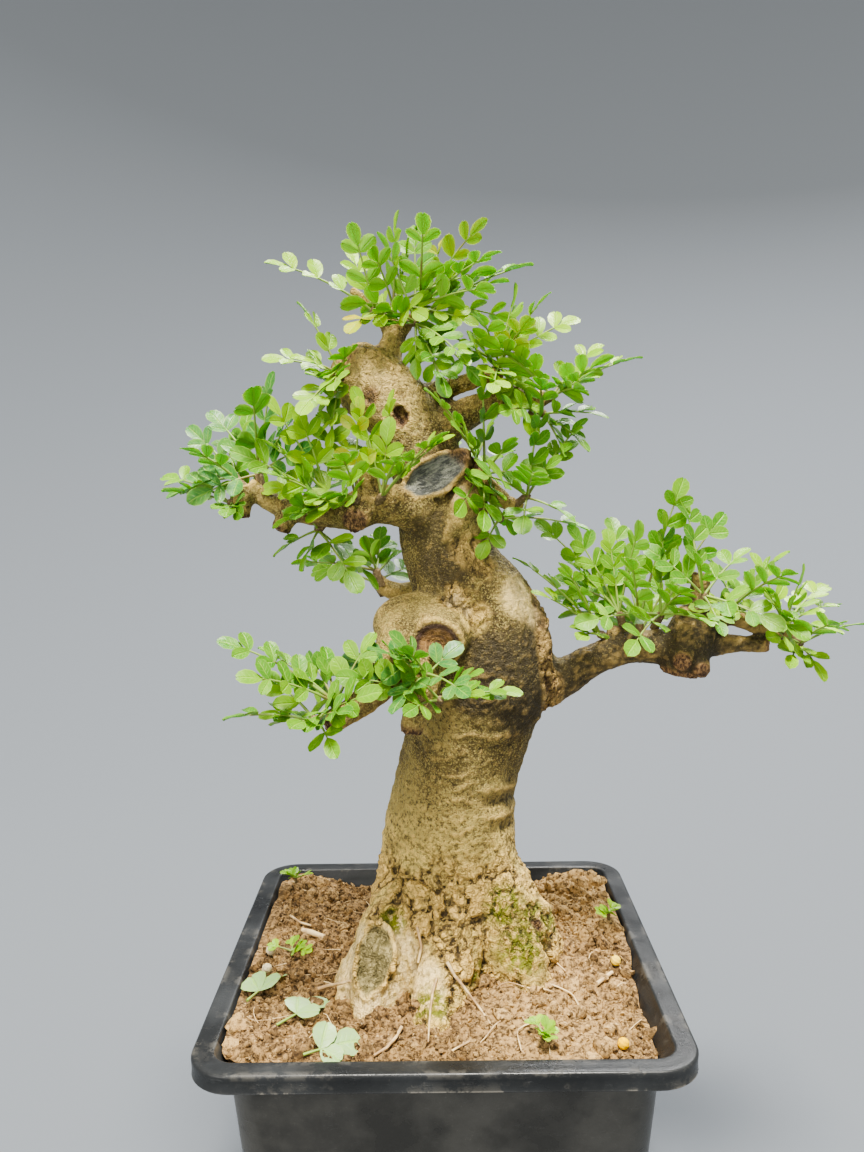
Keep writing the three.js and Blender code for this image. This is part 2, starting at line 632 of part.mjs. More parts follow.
const sprays = [];
SPRAYS.forEach(([name, root, tips], index) => {
  const spray = spraySolid(index, root, tips, woodSpace, sprays);
  sprays.push(spray);
  group.add(meshOf(`spray_${name}`, spray, name.startsWith('left') ? LEAF_BLUE : LEAF_GREEN, 0.5));
});

FALLEN.forEach(([name, root, tip], index) => {
  const leaf = leafSolid(vector([...root, 0]), vector([...tip, 0]), 0.2 * (index - 1), 0.05);
  group.add(meshOf(name, restOnSoil(leaf, root, soil), LEAF_PALE, 0.6));
});

for (const [name, place, colour] of PELLETS) {
  const ball = new THREE.SphereGeometry(PELLET_RADIUS, 6, 4);
  ball.rotateX(Math.PI / 2);
  ball.translate(...place, 0);
  group.add(meshOf(name, restOnSoil(solidOf(ball), place, soil), colour, 0.6));
}

group.add(meshOf('pot', potSolid(), PLASTIC, 0.45));
group.add(meshOf('soil', soil, EARTH, 0.95));
group.add(meshOf('tree', wood, BARK, 0.85));

export default group;
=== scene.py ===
"""Hupeh ash bonsai in a square nursery pot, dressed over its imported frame.

Lengths in the classes are millimetres, as in the frame's own source; meshes are made in metres.
"""
import json
import logging
import math
from dataclasses import dataclass
from enum import Enum
from typing import Callable, Iterable, Sequence

import bmesh
import bpy
import numpy as np
from bpy.types import ID, Mesh, Node, NodeSocket, NodeTree, Object
from mathutils import Matrix, Vector

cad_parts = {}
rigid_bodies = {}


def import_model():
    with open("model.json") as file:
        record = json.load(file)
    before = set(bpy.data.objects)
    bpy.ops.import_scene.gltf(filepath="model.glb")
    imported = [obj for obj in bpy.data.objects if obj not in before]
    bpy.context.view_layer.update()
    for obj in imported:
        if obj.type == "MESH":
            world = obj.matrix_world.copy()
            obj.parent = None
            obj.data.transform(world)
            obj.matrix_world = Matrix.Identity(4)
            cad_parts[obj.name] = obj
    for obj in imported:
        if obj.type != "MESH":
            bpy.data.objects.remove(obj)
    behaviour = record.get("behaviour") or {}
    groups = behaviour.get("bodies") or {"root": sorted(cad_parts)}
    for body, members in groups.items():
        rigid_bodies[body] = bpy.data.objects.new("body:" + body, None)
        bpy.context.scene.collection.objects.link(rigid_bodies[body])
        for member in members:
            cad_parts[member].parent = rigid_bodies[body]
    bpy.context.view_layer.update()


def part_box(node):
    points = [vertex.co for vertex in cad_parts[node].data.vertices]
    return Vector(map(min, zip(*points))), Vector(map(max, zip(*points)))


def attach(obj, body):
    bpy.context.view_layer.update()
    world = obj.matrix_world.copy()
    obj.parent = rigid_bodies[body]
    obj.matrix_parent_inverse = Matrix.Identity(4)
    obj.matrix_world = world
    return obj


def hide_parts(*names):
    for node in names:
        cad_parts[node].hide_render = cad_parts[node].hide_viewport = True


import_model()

LOG = logging.getLogger("bonsai")
MM = 0.001
BODY = "root"
FULL_TURN = 2 * math.pi
Point = tuple[float, float, float]
Spot = tuple[float, float, float, float]
Station = tuple[float, ...]
Patch = tuple[str, float, Sequence[Spot]]
Skin = tuple[np.ndarray, list[list[int]]]
Colour = tuple[float, float, float]


def draw(i: float, j: float, k: float) -> float:
    """A repeatable number between 0 and 1 for three indices."""
    wave = math.sin(i * 12.9898 + j * 78.233 + k * 37.719) * 43758.5453
    return wave - math.floor(wave)


def smooth(low: float, high: float, value: np.ndarray) -> np.ndarray:
    """Smooth step from 0 at low to 1 at high."""
    t = np.clip((np.asarray(value, float) - low) / (high - low), 0.0, 1.0)
    return t * t * (3 - 2 * t)


def unit(vector: np.ndarray) -> np.ndarray:
    """The vector at length 1."""
    return vector / max(float(np.linalg.norm(vector)), 1e-9)


def turn_of(steps: int) -> np.ndarray:
    """Even angles once round."""
    return np.arange(steps) / steps * FULL_TURN


def linked(name: str, data: ID) -> Object:
    """Makes an object of some data and links it to the scene.

    Args:
        name: Its name.
        data: Its mesh, camera or light.

    Returns:
        The object.
    """
    made = bpy.data.objects.new(name, data)
    bpy.context.scene.collection.objects.link(made)
    return made


def mesh_object(name: str, points: np.ndarray, faces: Sequence, edges: Sequence = ()) -> Object:
    """Makes a mesh object at the origin.

    Args:
        name: Name of the object and its mesh.
        points: Points in millimetres.
        faces: Lists of point numbers.
        edges: Pairs of point numbers, for meshes without faces.

    Returns:
        The new object, linked to the scene.
    """
    mesh = bpy.data.meshes.new(name)
    places = (np.asarray(points, float) * MM).tolist()
    mesh.from_pydata(places, [list(e) for e in edges], [list(f) for f in faces])
    mesh.update()
    return linked(name, mesh)


def from_bmesh(name: str, work: bmesh.types.BMesh) -> Object:
    """Makes an object of a worked mesh.

    Args:
        name: Name of the object and its mesh.
        work: The mesh, in metres, which is freed.

    Returns:
        The new object, linked to the scene.
    """
    mesh = bpy.data.meshes.new(name)
    work.to_mesh(mesh)
    work.free()
    return linked(name, mesh)


def baked(made: Object) -> Object:
    """Turns an object's modifiers into plain mesh.

    Args:
        made: Object with modifiers.

    Returns:
        The same object, with the result as its mesh and no modifiers.
    """
    bpy.context.view_layer.update()
    graph = bpy.context.evaluated_depsgraph_get()
    mesh = bpy.data.meshes.new_from_object(made.evaluated_get(graph), preserve_all_data_layers=True,
                                           depsgraph=graph)
    made.modifiers.clear()
    old = made.data
    made.data = mesh
    mesh.name = made.name
    bpy.data.meshes.remove(old)
    return made


def points_of(mesh: Mesh) -> np.ndarray:
    """Reads the mesh's points.

    Args:
        mesh: Mesh to read.

    Returns:
        Points in millimetres.
    """
    flat = np.empty(len(mesh.vertices) * 3, np.float32)
    mesh.vertices.foreach_get("co", flat)
    return flat.reshape(-1, 3).astype(float) / MM


def set_points(mesh: Mesh, points: np.ndarray) -> None:
    """Moves the mesh's points to places in millimetres."""
    mesh.vertices.foreach_set("co", (points * MM).astype(np.float32).ravel())
    mesh.update()


def normals_of(mesh: Mesh) -> np.ndarray:
    """Reads the mesh's point normals.

    Args:
        mesh: Mesh to read.

    Returns:
        Unit vectors.
    """
    flat = np.empty(len(mesh.vertices) * 3, np.float32)
    mesh.vertex_normals.foreach_get("vector", flat)
    return flat.reshape(-1, 3).astype(float)


def write_attribute(mesh: Mesh, name: str, kind: str, values: Sequence, domain: str = "POINT") -> None:
    """Writes one attribute of kind FLOAT, INT, BOOLEAN or FLOAT_VECTOR, a row for each element."""
    made = mesh.attributes.new(name, kind, domain)
    made.data.foreach_set("vector" if kind == "FLOAT_VECTOR" else "value", np.asarray(values).ravel())


def shade(made: Object, sharp_angle: float = 180.0) -> None:
    """Shades an object smooth.

    Args:
        made: Object to shade.
        sharp_angle: Angle in degrees above which an edge stays sharp.
    """
    made.data.shade_smooth()
    if sharp_angle < 180.0:
        made.data.set_sharp_from_angle(angle=math.radians(sharp_angle))


def hand_over(made: Object, slot: str, nodes: Iterable[str] = ()) -> None:
    """Attaches a finished piece to the frame's body and hides the solids it stands for.

    Args:
        made: The finished piece.
        slot: Material slot of the record; not used.
        nodes: Solids that the piece stands for.
    """
    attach(made, BODY)
    if nodes:
        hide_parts(*nodes)
    made.data.calc_loop_triangles()
    LOG.info("%s: %d triangles", made.name, len(made.data.loop_triangles))


class Value:
    """One socket of a node tree, with sums written as operators."""

    def __init__(self, graph: "Graph", socket: NodeSocket) -> None:
        """Keeps the socket and the graph it is in."""
        self.graph, self.socket = graph, socket

    def __add__(self, other: "Value | float") -> "Value":
        """Sum of two numbers."""
        return self.graph.math("ADD", self, other)

    def __sub__(self, other: "Value | float") -> "Value":
        """Difference of two numbers."""
        return self.graph.math("SUBTRACT", self, other)

    def __rsub__(self, other: float) -> "Value":
        """A plain number less this one."""
        return self.graph.math("SUBTRACT", other, self)

    def __mul__(self, other: "Value | float") -> "Value":
        """Product of two numbers."""
        return self.graph.math("MULTIPLY", self, other)

    def step(self, low: float, high: float, to_low: float = 0.0, to_high: float = 1.0) -> "Value":
        """Smooth step between two limits, onto two others."""
        inputs = {0: self, 1: low, 2: high, 3: to_low, 4: to_high}
        return self.graph.add("ShaderNodeMapRange", inputs, interpolation_type="SMOOTHSTEP")


class Graph:
    """Adds nodes to a node tree and joins them."""

    def __init__(self, tree: NodeTree) -> None:
        """Keeps the tree that nodes are added to."""
        self.tree = tree

    def node(self, kind: str, inputs: dict | None = None, **settings: object) -> Node:
        """Adds one node.

        Args:
            kind: The node's type.
            inputs: Value, list of values or plain setting of each input, by name or number.
            **settings: Properties of the node.

        Returns:
            The new node.
        """
        node = self.tree.nodes.new(kind)
        for name, setting in settings.items():
            setattr(node, name, setting)
        for key, given in (inputs or {}).items():
            for value in given if isinstance(given, list) else [given]:
                if isinstance(value, Value):
                    self.tree.links.new(value.socket, node.inputs[key])
                else:
                    node.inputs[key].default_value = value
        return node

    def add(self, kind: str, inputs: dict | None = None, output: int | str = 0, **settings: object) -> Value:
        """Adds one node and gives back one of its outputs."""
        return Value(self, self.node(kind, inputs, **settings).outputs[output])

    def math(self, operation: str, a: Value | float, b: Value | float = 0.0, clamp: bool = False) -> Value:
        """The result of a sum on two numbers."""
        return self.add("ShaderNodeMath", {0: a, 1: b}, operation=operation, use_clamp=clamp)

    def vector(self, operation: str, a: Value, b: Value | Point) -> Value:
        """The result of a sum on two vectors."""
        return self.add("ShaderNodeVectorMath", {0: a, 1: b}, operation=operation)

    def scaled(self, vector: Value, by: Point | Value | float) -> Value:
        """A vector multiplied.

        Args:
            vector: The vector.
            by: Three numbers, or one.

        Returns:
            The product.
        """
        if isinstance(by, tuple):
            return self.vector("MULTIPLY", vector, by)
        return self.add("ShaderNodeVectorMath", {0: vector, 3: by}, operation="SCALE")

    def split(self, vector: Value) -> list[Value]:
        """The three parts of a vector."""
        return [Value(self, part) for part in self.node("ShaderNodeSeparateXYZ", {0: vector}).outputs]

    def noise(self, place: Value, scale: float, detail: float = 3.0, rough: float = 0.55) -> Value:
        """Noise at a place, in cycles per unit of that place."""
        inputs = {"Vector": place, "Scale": scale, "Detail": detail, "Roughness": rough}
        return self.add("ShaderNodeTexNoise", inputs)

    def cells(self, place: Value, scale: float, feature: str, distance: str,
              output: str = "Distance") -> Value:
        """Cell pattern at a place: a distance, or a random colour for each cell."""
        return self.add("ShaderNodeTexVoronoi", {"Vector": place, "Scale": scale}, output, feature=feature,
                        distance=distance)

    def wander(self, place: Value, scale: float, detail: float, far: float) -> Value:
        """How far noise pushes a place about."""
        inputs = {"Vector": place, "Scale": scale, "Detail": detail}
        return self.scaled(self.add("ShaderNodeTexNoise", inputs, 1), far)

    def mix(self, share: Value | float, a: Colour | Value, b: Colour | Value) -> Value:
        """One colour changed towards another by a share."""
        a, b = ((*c, 1.0) if isinstance(c, tuple) else c for c in (a, b))
        return self.add("ShaderNodeMix", {0: share, 6: a, 7: b}, 2, data_type="RGBA", clamp_factor=True)

    def bump(self, height: Value, depth: float) -> Value:
        """Normals of a relief whose depth is in millimetres."""
        return self.add("ShaderNodeBump", {"Height": height, "Distance": depth * MM, "Strength": 1.0})

    def plates(self, place: Value) -> tuple[Value, ...]:
        """Ragged upright plates of bark.

        Args:
            place: Place in millimetres, before the plates are raised.

        Returns:
            Depth inside a plate and inside a chip, a random number for each plate and for each chip,
            and where plates show.
        """
        warped = place
        for scale, far in ((0.11, 7.0), (0.40, 4.5)):
            warped = self.vector("ADD", warped, self.wander(place, scale, 3.0, far))
        tall = self.scaled(warped, (1.0, 1.0, 0.60))
        sizes = (0.118, 0.38)
        depths = [self.cells(tall, size, "F2", "CHEBYCHEV") - self.cells(tall, size, "F1", "CHEBYCHEV")
                  for size in sizes]
        shades = [self.cells(tall, size, "F1", "CHEBYCHEV", "Color") for size in sizes]
        return *depths, *shades, self.noise(place, 0.075, 3.0).step(0.34, 0.52)

    def attribute(self, name: str, output: str = "Vector") -> Value:
        """The shader's reader of a named attribute."""
        return self.add("ShaderNodeAttribute", None, output, attribute_name=name)

    def mark(self, name: str) -> Value:
        """The shader's reader of a named number."""
        return self.attribute(name, "Fac")


class Coat:
    """A colour that is built up in layers."""

    def __init__(self, graph: Graph, colour: Colour | Value) -> None:
        """Starts with the lowest layer."""
        self.graph, self.colour = graph, colour

    def lay(self, share: Value | float, colour: Colour | Value) -> None:
        """Lays a colour over the others by a share."""
        self.colour = self.graph.mix(share, self.colour, colour)


class Finish:
    """Base of every finish: a material with one Principled shader."""

    name = "finish"

    def material(self) -> bpy.types.Material:
        """Makes the material once and gives it back each time.

        Returns:
            The material.
        """
        made = bpy.data.materials.get(self.name)
        if made is None:
            made = bpy.data.materials.new(self.name)
            made.use_nodes = True
            made.node_tree.nodes.clear()
            graph = Graph(made.node_tree)
            place = graph.scaled(graph.add("ShaderNodeTexCoord", None, "Object"), (1 / MM,) * 3)
            shader = graph.add("ShaderNodeBsdfPrincipled", self.dress(graph, place))
            graph.node("ShaderNodeOutputMaterial", {"Surface": shader})
        return made

    def dress(self, graph: Graph, place: Value) -> dict[str, object]:
        """The shader's inputs at a place in millimetres; each finish has its own."""
        raise NotImplementedError


@dataclass(frozen=True)
class BarkFinish(Finish):
    """Speckled khaki bark with its wounds, sawn ends, moss and flakes, and painted light and shade."""

    name: str = "speckled_bark"
    relief: float = 1.7
    khaki: Colour = (0.235, 0.175, 0.050)
    olive: Colour = (0.090, 0.060, 0.015)
    speckle: Colour = (0.50, 0.40, 0.13)
    # painted shade: a dark colour laid where shade falls, under the burl and along the right branch
    dusk: Colour = (0.052, 0.038, 0.014)
    # painted light: a bright colour laid on the lower trunk and where light falls on the burl
    lit: Colour = (0.94, 0.69, 0.215)
    # dark of cracks and pits, also used as painted shade in hollows and creases
    crack: Colour = (0.034, 0.022, 0.009)
    # pale of flakes and lichen, also used as painted highlight on raised plates and ridges
    flake_and_highlight: Colour = (0.97, 0.66, 0.21)
    # umber of the bark between plates, with painted shade in those low parts
    umber_and_shade: Colour = (0.27, 0.165, 0.050)
    seam: Colour = (0.080, 0.046, 0.015)
    cream: Colour = (1.0, 0.77, 0.37)
    moss: Colour = (0.185, 0.195, 0.010)
    slate: Colour = (0.105, 0.108, 0.095)
    slate_light: Colour = (0.33, 0.33, 0.26)
    raw: Colour = (0.36, 0.21, 0.085)
    raw_dark: Colour = (0.065, 0.030, 0.014)
    sawn: Colour = (0.095, 0.047, 0.013)
    sawn_light: Colour = (0.25, 0.135, 0.038)
    scar: Colour = (0.20, 0.165, 0.062)
    scar_light: Colour = (0.50, 0.41, 0.18)

    def dress(self, graph: Graph, place: Value) -> dict[str, object]:
        """Lays bark, flakes, moss, wounds, sawn ends, painted light and painted shade over each other.

        Args:
            graph: Graph of the material.
            place: Place in millimetres.

        Returns:
            The shader's inputs.
        """
        seams, fine_seams, lift, chips, shown = graph.plates(graph.attribute("rest"))
        patch = graph.noise(place, 0.040, 4.0, 0.6)
        grain = graph.noise(place, 0.42, 5.0, 0.68)
        sand = graph.noise(place, 0.72, 3.0, 0.65)
        streak = graph.noise(graph.scaled(place, (0.45, 0.45, 0.07)), 1.0, 4.0)
        flaky, dip, dusk = graph.mark("flaky") * shown, graph.mark("dip"), graph.mark("dusk")
        coat = Coat(graph, self.olive)
        coat.lay(patch.step(0.42, 0.60), self.khaki)
        coat.lay(streak.step(0.47, 0.66, 0.0, 0.6), self.khaki)
        coat.lay(grain.step(0.52, 0.30, 0.0, 0.50), self.olive)
        # painted light: the bright colour where light falls, held back in the painted shade
        lit = graph.mark("lit") * (grain + sand).step(0.86, 1.08, 0.10, 1.0) * dusk.step(0.0, 0.9, 1.0, 0.10)
        coat.lay(lit * graph.noise(place, 0.11, 3.0).step(0.38, 0.54, 0.60, 1.0), self.lit)
        coat.lay(sand.step(0.46, 0.36) * dusk.step(0.0, 0.8, 0.42, 0.10), self.crack)
        # painted shade: the dark colour laid where shade falls; lit colour, pits, lichen and speckles are
        # held back there
        coat.lay(dusk * grain.step(0.60, 0.45, 0.86, 0.96), self.dusk)
        lichen = graph.noise(place, 0.24, 4.0, 0.6).step(0.62, 0.68, 0.0, 0.35)
        coat.lay(lichen * dusk.step(0.0, 1.0, 1.0, 0.35), self.flake_and_highlight)
        fine = graph.noise(place, 1.4, 2.0, 0.6) + patch * 0.20 - dusk * 0.09
        coat.lay(fine.step(0.60, 0.68) * dusk.step(0.0, 1.0, 0.70, 0.30), self.speckle)
        plate = lift + chips + sand
        # raised plates paler: their pale outer bark, with a painted highlight
        coat.lay(flaky * plate.step(0.90, 1.45), self.flake_and_highlight)
        # low parts of the plates darker: their umber bark, with painted shade between the plates
        coat.lay(flaky * plate.step(1.15, 0.82, 0.0, 0.85), self.umber_and_shade)
        ragged = (grain + sand) * 0.16
        seam = graph.math("MAXIMUM", (seams + ragged).step(0.24, 0.18, 0.0, 0.90),
                          (fine_seams + ragged).step(0.22, 0.14, 0.0, 0.55))
        coat.lay(seam * flaky, self.seam)
        cream = graph.mark("cream")
        coat.lay(cream * streak.step(0.36, 0.52, 0.35, 1.0), self.cream)
        peeled = graph.noise(graph.scaled(place, (1.0, 1.0, 0.22)), 0.55, 5.0, 0.7)
        coat.lay(peeled.step(0.50, 0.34, 0.0, 0.75) * cream, self.khaki)
        coat.lay(graph.mark("moss") * graph.noise(place, 0.33, 5.0, 0.7).step(0.40, 0.52), self.moss)
        # painted shade where a point lies below its surroundings, painted highlight where it stands above
        # them
        coat.lay(dip.step(0.06, 0.60, 0.0, 0.70), self.crack)
        coat.lay(dip.step(-0.05, -0.50, 0.0, 0.40), self.flake_and_highlight)
        # darker fold valleys, marked in the relief: cracks, with painted shade in the creases
        coat.lay(graph.mark("crack"), self.crack)
        for mark, dark, light, tilt, long in (("slate", self.slate, self.slate_light, -0.5, (5.0, 1.0, 1.0)),
                                              ("scar", self.scar, self.scar_light, 0.1, (1.4, 1.0, 2.6))):
            inputs = {"Vector": place, "Rotation": (0.0, tilt, 0.0), "Scale": long}
            along = graph.add("ShaderNodeMapping", inputs, vector_type="TEXTURE")
            fibre = graph.noise(along, 1.1, 4.0, 0.7) + graph.noise(place, 0.22, 3.0)
            coat.lay(graph.mark(mark), graph.mix(fibre.step(0.86, 1.18), dark, light))
        shred = graph.noise(graph.scaled(place, (1.0, 1.0, 0.5)), 0.8, 4.0, 0.75)
        raw = graph.mix(shred.step(0.42, 0.60), self.raw_dark, self.raw)
        coat.lay(graph.mark("raw"), raw)
        ring = graph.mark("ring")
        sawn = Coat(graph, self.sawn)
        sawn.lay((graph.noise(ring * 5.0, 1.6, 2.0) + grain * 0.5).step(0.66, 0.84), self.sawn_light)
        sawn.lay(ring.step(0.70, 0.86), self.raw_dark)
        coat.lay(graph.mark("sawn"), sawn.colour)
        coat.lay(graph.mark("hollow"), graph.mix(0.15, raw, self.raw_dark))
        edge = lift + chips - seams.step(0.20, 0.02, 0.0, 1.4) - fine_seams.step(0.20, 0.02, 0.0, 0.8)
        return {"Base Color": coat.colour, "Roughness": sand.step(0.4, 0.7, 0.62, 0.85),
                "Normal": graph.bump(sand * 0.70 + grain + edge * flaky, self.relief)}


@dataclass(frozen=True)
class PlasticFinish(Finish):
    """Black nursery-pot plastic, scuffed and dusty along its edges."""

    name: str = "worn_plastic"
    relief: float = 0.10
    black: Colour = (0.0145, 0.0155, 0.0162)
    worn: Colour = (0.040, 0.043, 0.045)
    dust: Colour = (0.26, 0.24, 0.20)

    def dress(self, graph: Graph, place: Value) -> dict[str, object]:
        """Speckled black with worn edges, scuffs and a film of dust.

        Args:
            graph: Graph of the material.
            place: Place in millimetres.

        Returns:
            The shader's inputs.
        """
        cloud = graph.noise(place, 0.035, 5.0, 0.6)
        fine = graph.noise(place, 0.75, 4.0, 0.7)
        scuff = graph.noise(graph.scaled(place, (0.25, 0.25, 1.2)), 0.35, 5.0, 0.75).step(0.60, 0.72)
        edge = graph.mark("wear") * graph.noise(place, 0.06, 5.0, 0.75).step(0.52, 0.60, 0.04, 1.0)
        coat = Coat(graph, self.black)
        coat.lay(cloud.step(0.35, 0.7, 0.0, 0.55), self.worn)
        coat.lay(scuff * 0.35, self.worn)
        coat.lay(fine.step(0.60, 0.70) * cloud.step(0.4, 0.65, 0.03, 0.16), self.dust)
        coat.lay(edge * 0.50, self.dust)
        coat.lay(graph.mark("dusty") * cloud.step(0.35, 0.65, 0.11, 0.23), self.dust)
        return {"Base Color": coat.colour, "Specular IOR Level": 0.36,
                "Roughness": cloud.step(0.3, 0.7, 0.24, 0.44) + edge * 0.25,
                "Normal": graph.bump(fine + scuff, self.relief)}


@dataclass(frozen=True)
class SoilFinish(Finish):
    """Crumbly brown earth, paler and dustier at the right front, with painted light paling the back right."""

    name: str = "crumbly_earth"
    relief: float = 0.9
    brown: Colour = (0.335, 0.210, 0.090)
    # dark earth, also used as painted shade between crumbs
    dark: Colour = (0.062, 0.037, 0.018)
    dusty: Colour = (0.53, 0.355, 0.155)
    chip: Colour = (0.80, 0.60, 0.34)

    def dress(self, graph: Graph, place: Value) -> dict[str, object]:
        """Mixed earth colours by crumb, patch and grain.

        Args:
            graph: Graph of the material.
            place: Place in millimetres.

        Returns:
            The shader's inputs.
        """
        grain, dry = graph.noise(place, 0.55, 6.0, 0.72), graph.mark("dry")
        # dark earth in the low parts of the grain: darker crumbs, with painted shade between them
        coat = Coat(graph, self.dark)
        coat.lay(grain.step(0.40, 0.58), self.brown)
        coat.lay(graph.noise(place, 0.15, 4.0).step(0.50, 0.62) * dry.step(0.8, 0.2, 0.0, 0.6), self.dark)
        # the dusty share follows the dry mark: dust at the right front, painted light at the back right
        share = graph.noise(place, 0.05, 4.0).step(0.46, 0.68, 0.0, 0.25) + dry * 0.42
        share = share + graph.mark("tone").step(0.35, 1.0, 0.0, 0.75)
        coat.lay(graph.math("MULTIPLY", share, grain.step(0.38, 0.58, 0.10, 1.0), clamp=True), self.dusty)
        coat.lay(graph.noise(place, 0.9, 2.0, 0.6).step(0.62, 0.70, 0.0, 0.50), self.chip)
        return {"Base Color": coat.colour, "Roughness": 0.95, "Specular IOR Level": 0.2,
                "Normal": graph.bump(grain, self.relief)}


@dataclass(frozen=True)
class StrawFinish(Finish):
    """Dry rootlets and straws on the soil."""

    name: str = "straw"
    relief: float = 0.15
    pale: Colour = (0.82, 0.63, 0.34)
    brown: Colour = (0.42, 0.27, 0.13)

    def dress(self, graph: Graph, place: Value) -> dict[str, object]:
        """Pale and brown stretches along each straw."""
        share = graph.noise(place, 0.11, 3.0).step(0.38, 0.60)
        return {"Base Color": graph.mix(share, self.brown, self.pale), "Roughness": 0.8,
                "Normal": graph.bump(graph.noise(place, 1.5, 2.0), self.relief)}


@dataclass(frozen=True)
class LeafFinish(Finish):
    """Small ash leaflets: green blade, pale veins and margin, mint underside."""

    name: str = "leaflet"
    relief: float = 0.22
    grown: Colour = (0.066, 0.216, 0.013)
    young: Colour = (0.318, 0.530, 0.013)
    blue: Colour = (0.040, 0.165, 0.046)
    copper: Colour = (0.46, 0.25, 0.030)
    faded: Colour = (0.30, 0.46, 0.20)
    under: Colour = (0.200, 0.400, 0.050)
    vein: Colour = (0.36, 0.58, 0.09)
    glow: float = 0.15
    glow_reach: Colour = (0.35, 1.0, 0.12)
    glow_depth: float = 1.6

    def dress(self, graph: Graph, place: Value) -> dict[str, object]:
        """Colours each leaflet by its age, with veins along its own length and width.

        Args:
            graph: Graph of the material.
            place: Place in millimetres.

        Returns:
            The shader's inputs.
        """
        length, width, below = graph.split(graph.attribute("blade"))
        age, bloom, rust = graph.split(graph.attribute("tint"))
        across, dry = graph.math("ABSOLUTE", width), bloom.step(1.2, 1.9)
        mottle = graph.noise(place, 0.28, 4.0, 0.6)
        coat = Coat(graph, self.grown)
        coat.lay(age, self.young)
        coat.lay(bloom, self.blue)
        coat.lay(rust * mottle.step(0.30, 0.58, 0.35, 1.0), self.copper)
        coat.lay(dry, self.faded)
        coat.lay(mottle.step(0.35, 0.65, 0.0, 0.14), self.young)
        side = graph.math("SINE", length * 34.0 - across * 9.0).step(0.55, 1.0)
        side = side * across.step(0.95, 0.35, 0.0, 0.20)
        rib = across.step(0.16, 0.03)
        coat.lay(graph.math("MAXIMUM", side, rib * 0.42), self.vein)
        coat.lay(across.step(0.84, 1.0, 0.0, 0.40), self.vein)
        pale = Coat(graph, self.under)
        pale.lay(rust * 0.5, self.copper)
        pale.lay(dry, self.faded)
        coat.lay(below * 0.65, pale.colour)
        return {"Base Color": coat.colour, "Roughness": mottle.step(0.3, 0.7, 0.30, 0.44),
                "Specular IOR Level": 0.34, "Subsurface Weight": self.glow,
                "Subsurface Radius": self.glow_reach, "Subsurface Scale": self.glow_depth * MM,
                "Normal": graph.bump(rib * -0.8 + side * -0.9, self.relief)}


@dataclass(frozen=True)
class StalkFinish(Finish):
    """Leaf stalks: lime at the tip of a spray, brown-red where they age."""

    name: str = "stalk"
    relief: float = 0.08
    lime: Colour = (0.25, 0.37, 0.07)
    brown: Colour = (0.20, 0.11, 0.045)

    def dress(self, graph: Graph, place: Value) -> dict[str, object]:
        """Lime turning to brown in patches."""
        share = graph.noise(place, 0.09, 3.0).step(0.50, 0.72, 0.0, 0.70)
        return {"Base Color": graph.mix(share, self.lime, self.brown), "Roughness": 0.5,
                "Normal": graph.bump(graph.noise(place, 2.0, 2.0), self.relief)}


@dataclass(frozen=True)
class TwigFinish(Finish):
    """Young twigs and spurs: grey-olive skin with pale lenticels."""

    name: str = "twig"
    relief: float = 0.3
    skin: Colour = (0.150, 0.105, 0.045)
    scale: Colour = (0.36, 0.27, 0.14)

    def dress(self, graph: Graph, place: Value) -> dict[str, object]:
        """Olive skin with pale dots.

        Args:
            graph: Graph of the material.
            place: Place in millimetres.

        Returns:
            The shader's inputs.
        """
        dots = graph.noise(place, 1.1, 3.0)
        colour = graph.mix(dots.step(0.52, 0.64, 0.0, 0.8), self.skin, self.scale)
        return {"Base Color": colour, "Roughness": 0.8,
                "Normal": graph.bump(dots, self.relief)}


@dataclass(frozen=True)
class PelletFinish(Finish):
    """Feed pellets: powdery balls of one colour with slightly darker pores."""

    name: str = "yellow_powder"
    powder: Colour = (1.0, 0.60, 0.0)
    relief: float = 0.3
    pore_share: float = 0.55

    def dress(self, graph: Graph, place: Value) -> dict[str, object]:
        """Powder with its pores.

        Args:
            graph: Graph of the material.
            place: Place in millimetres.

        Returns:
            The shader's inputs.
        """
        pores = graph.noise(place, 1.6, 4.0, 0.7)
        darker = tuple(self.pore_share * c for c in self.powder)
        return {"Base Color": graph.mix(pores.step(0.50, 0.30), self.powder, darker), "Roughness": 0.9,
                "Specular IOR Level": 0.15, "Normal": graph.bump(pores, self.relief)}


@dataclass(frozen=True)
class StageFinish(Finish):
    """Plain pale paper."""

    name: str = "paper"
    pale: Colour = (0.130, 0.143, 0.158)

    def dress(self, graph: Graph, place: Value) -> dict[str, object]:
        """One pale matte colour."""
        return {"Base Color": (*self.pale, 1.0), "Roughness": 0.9}


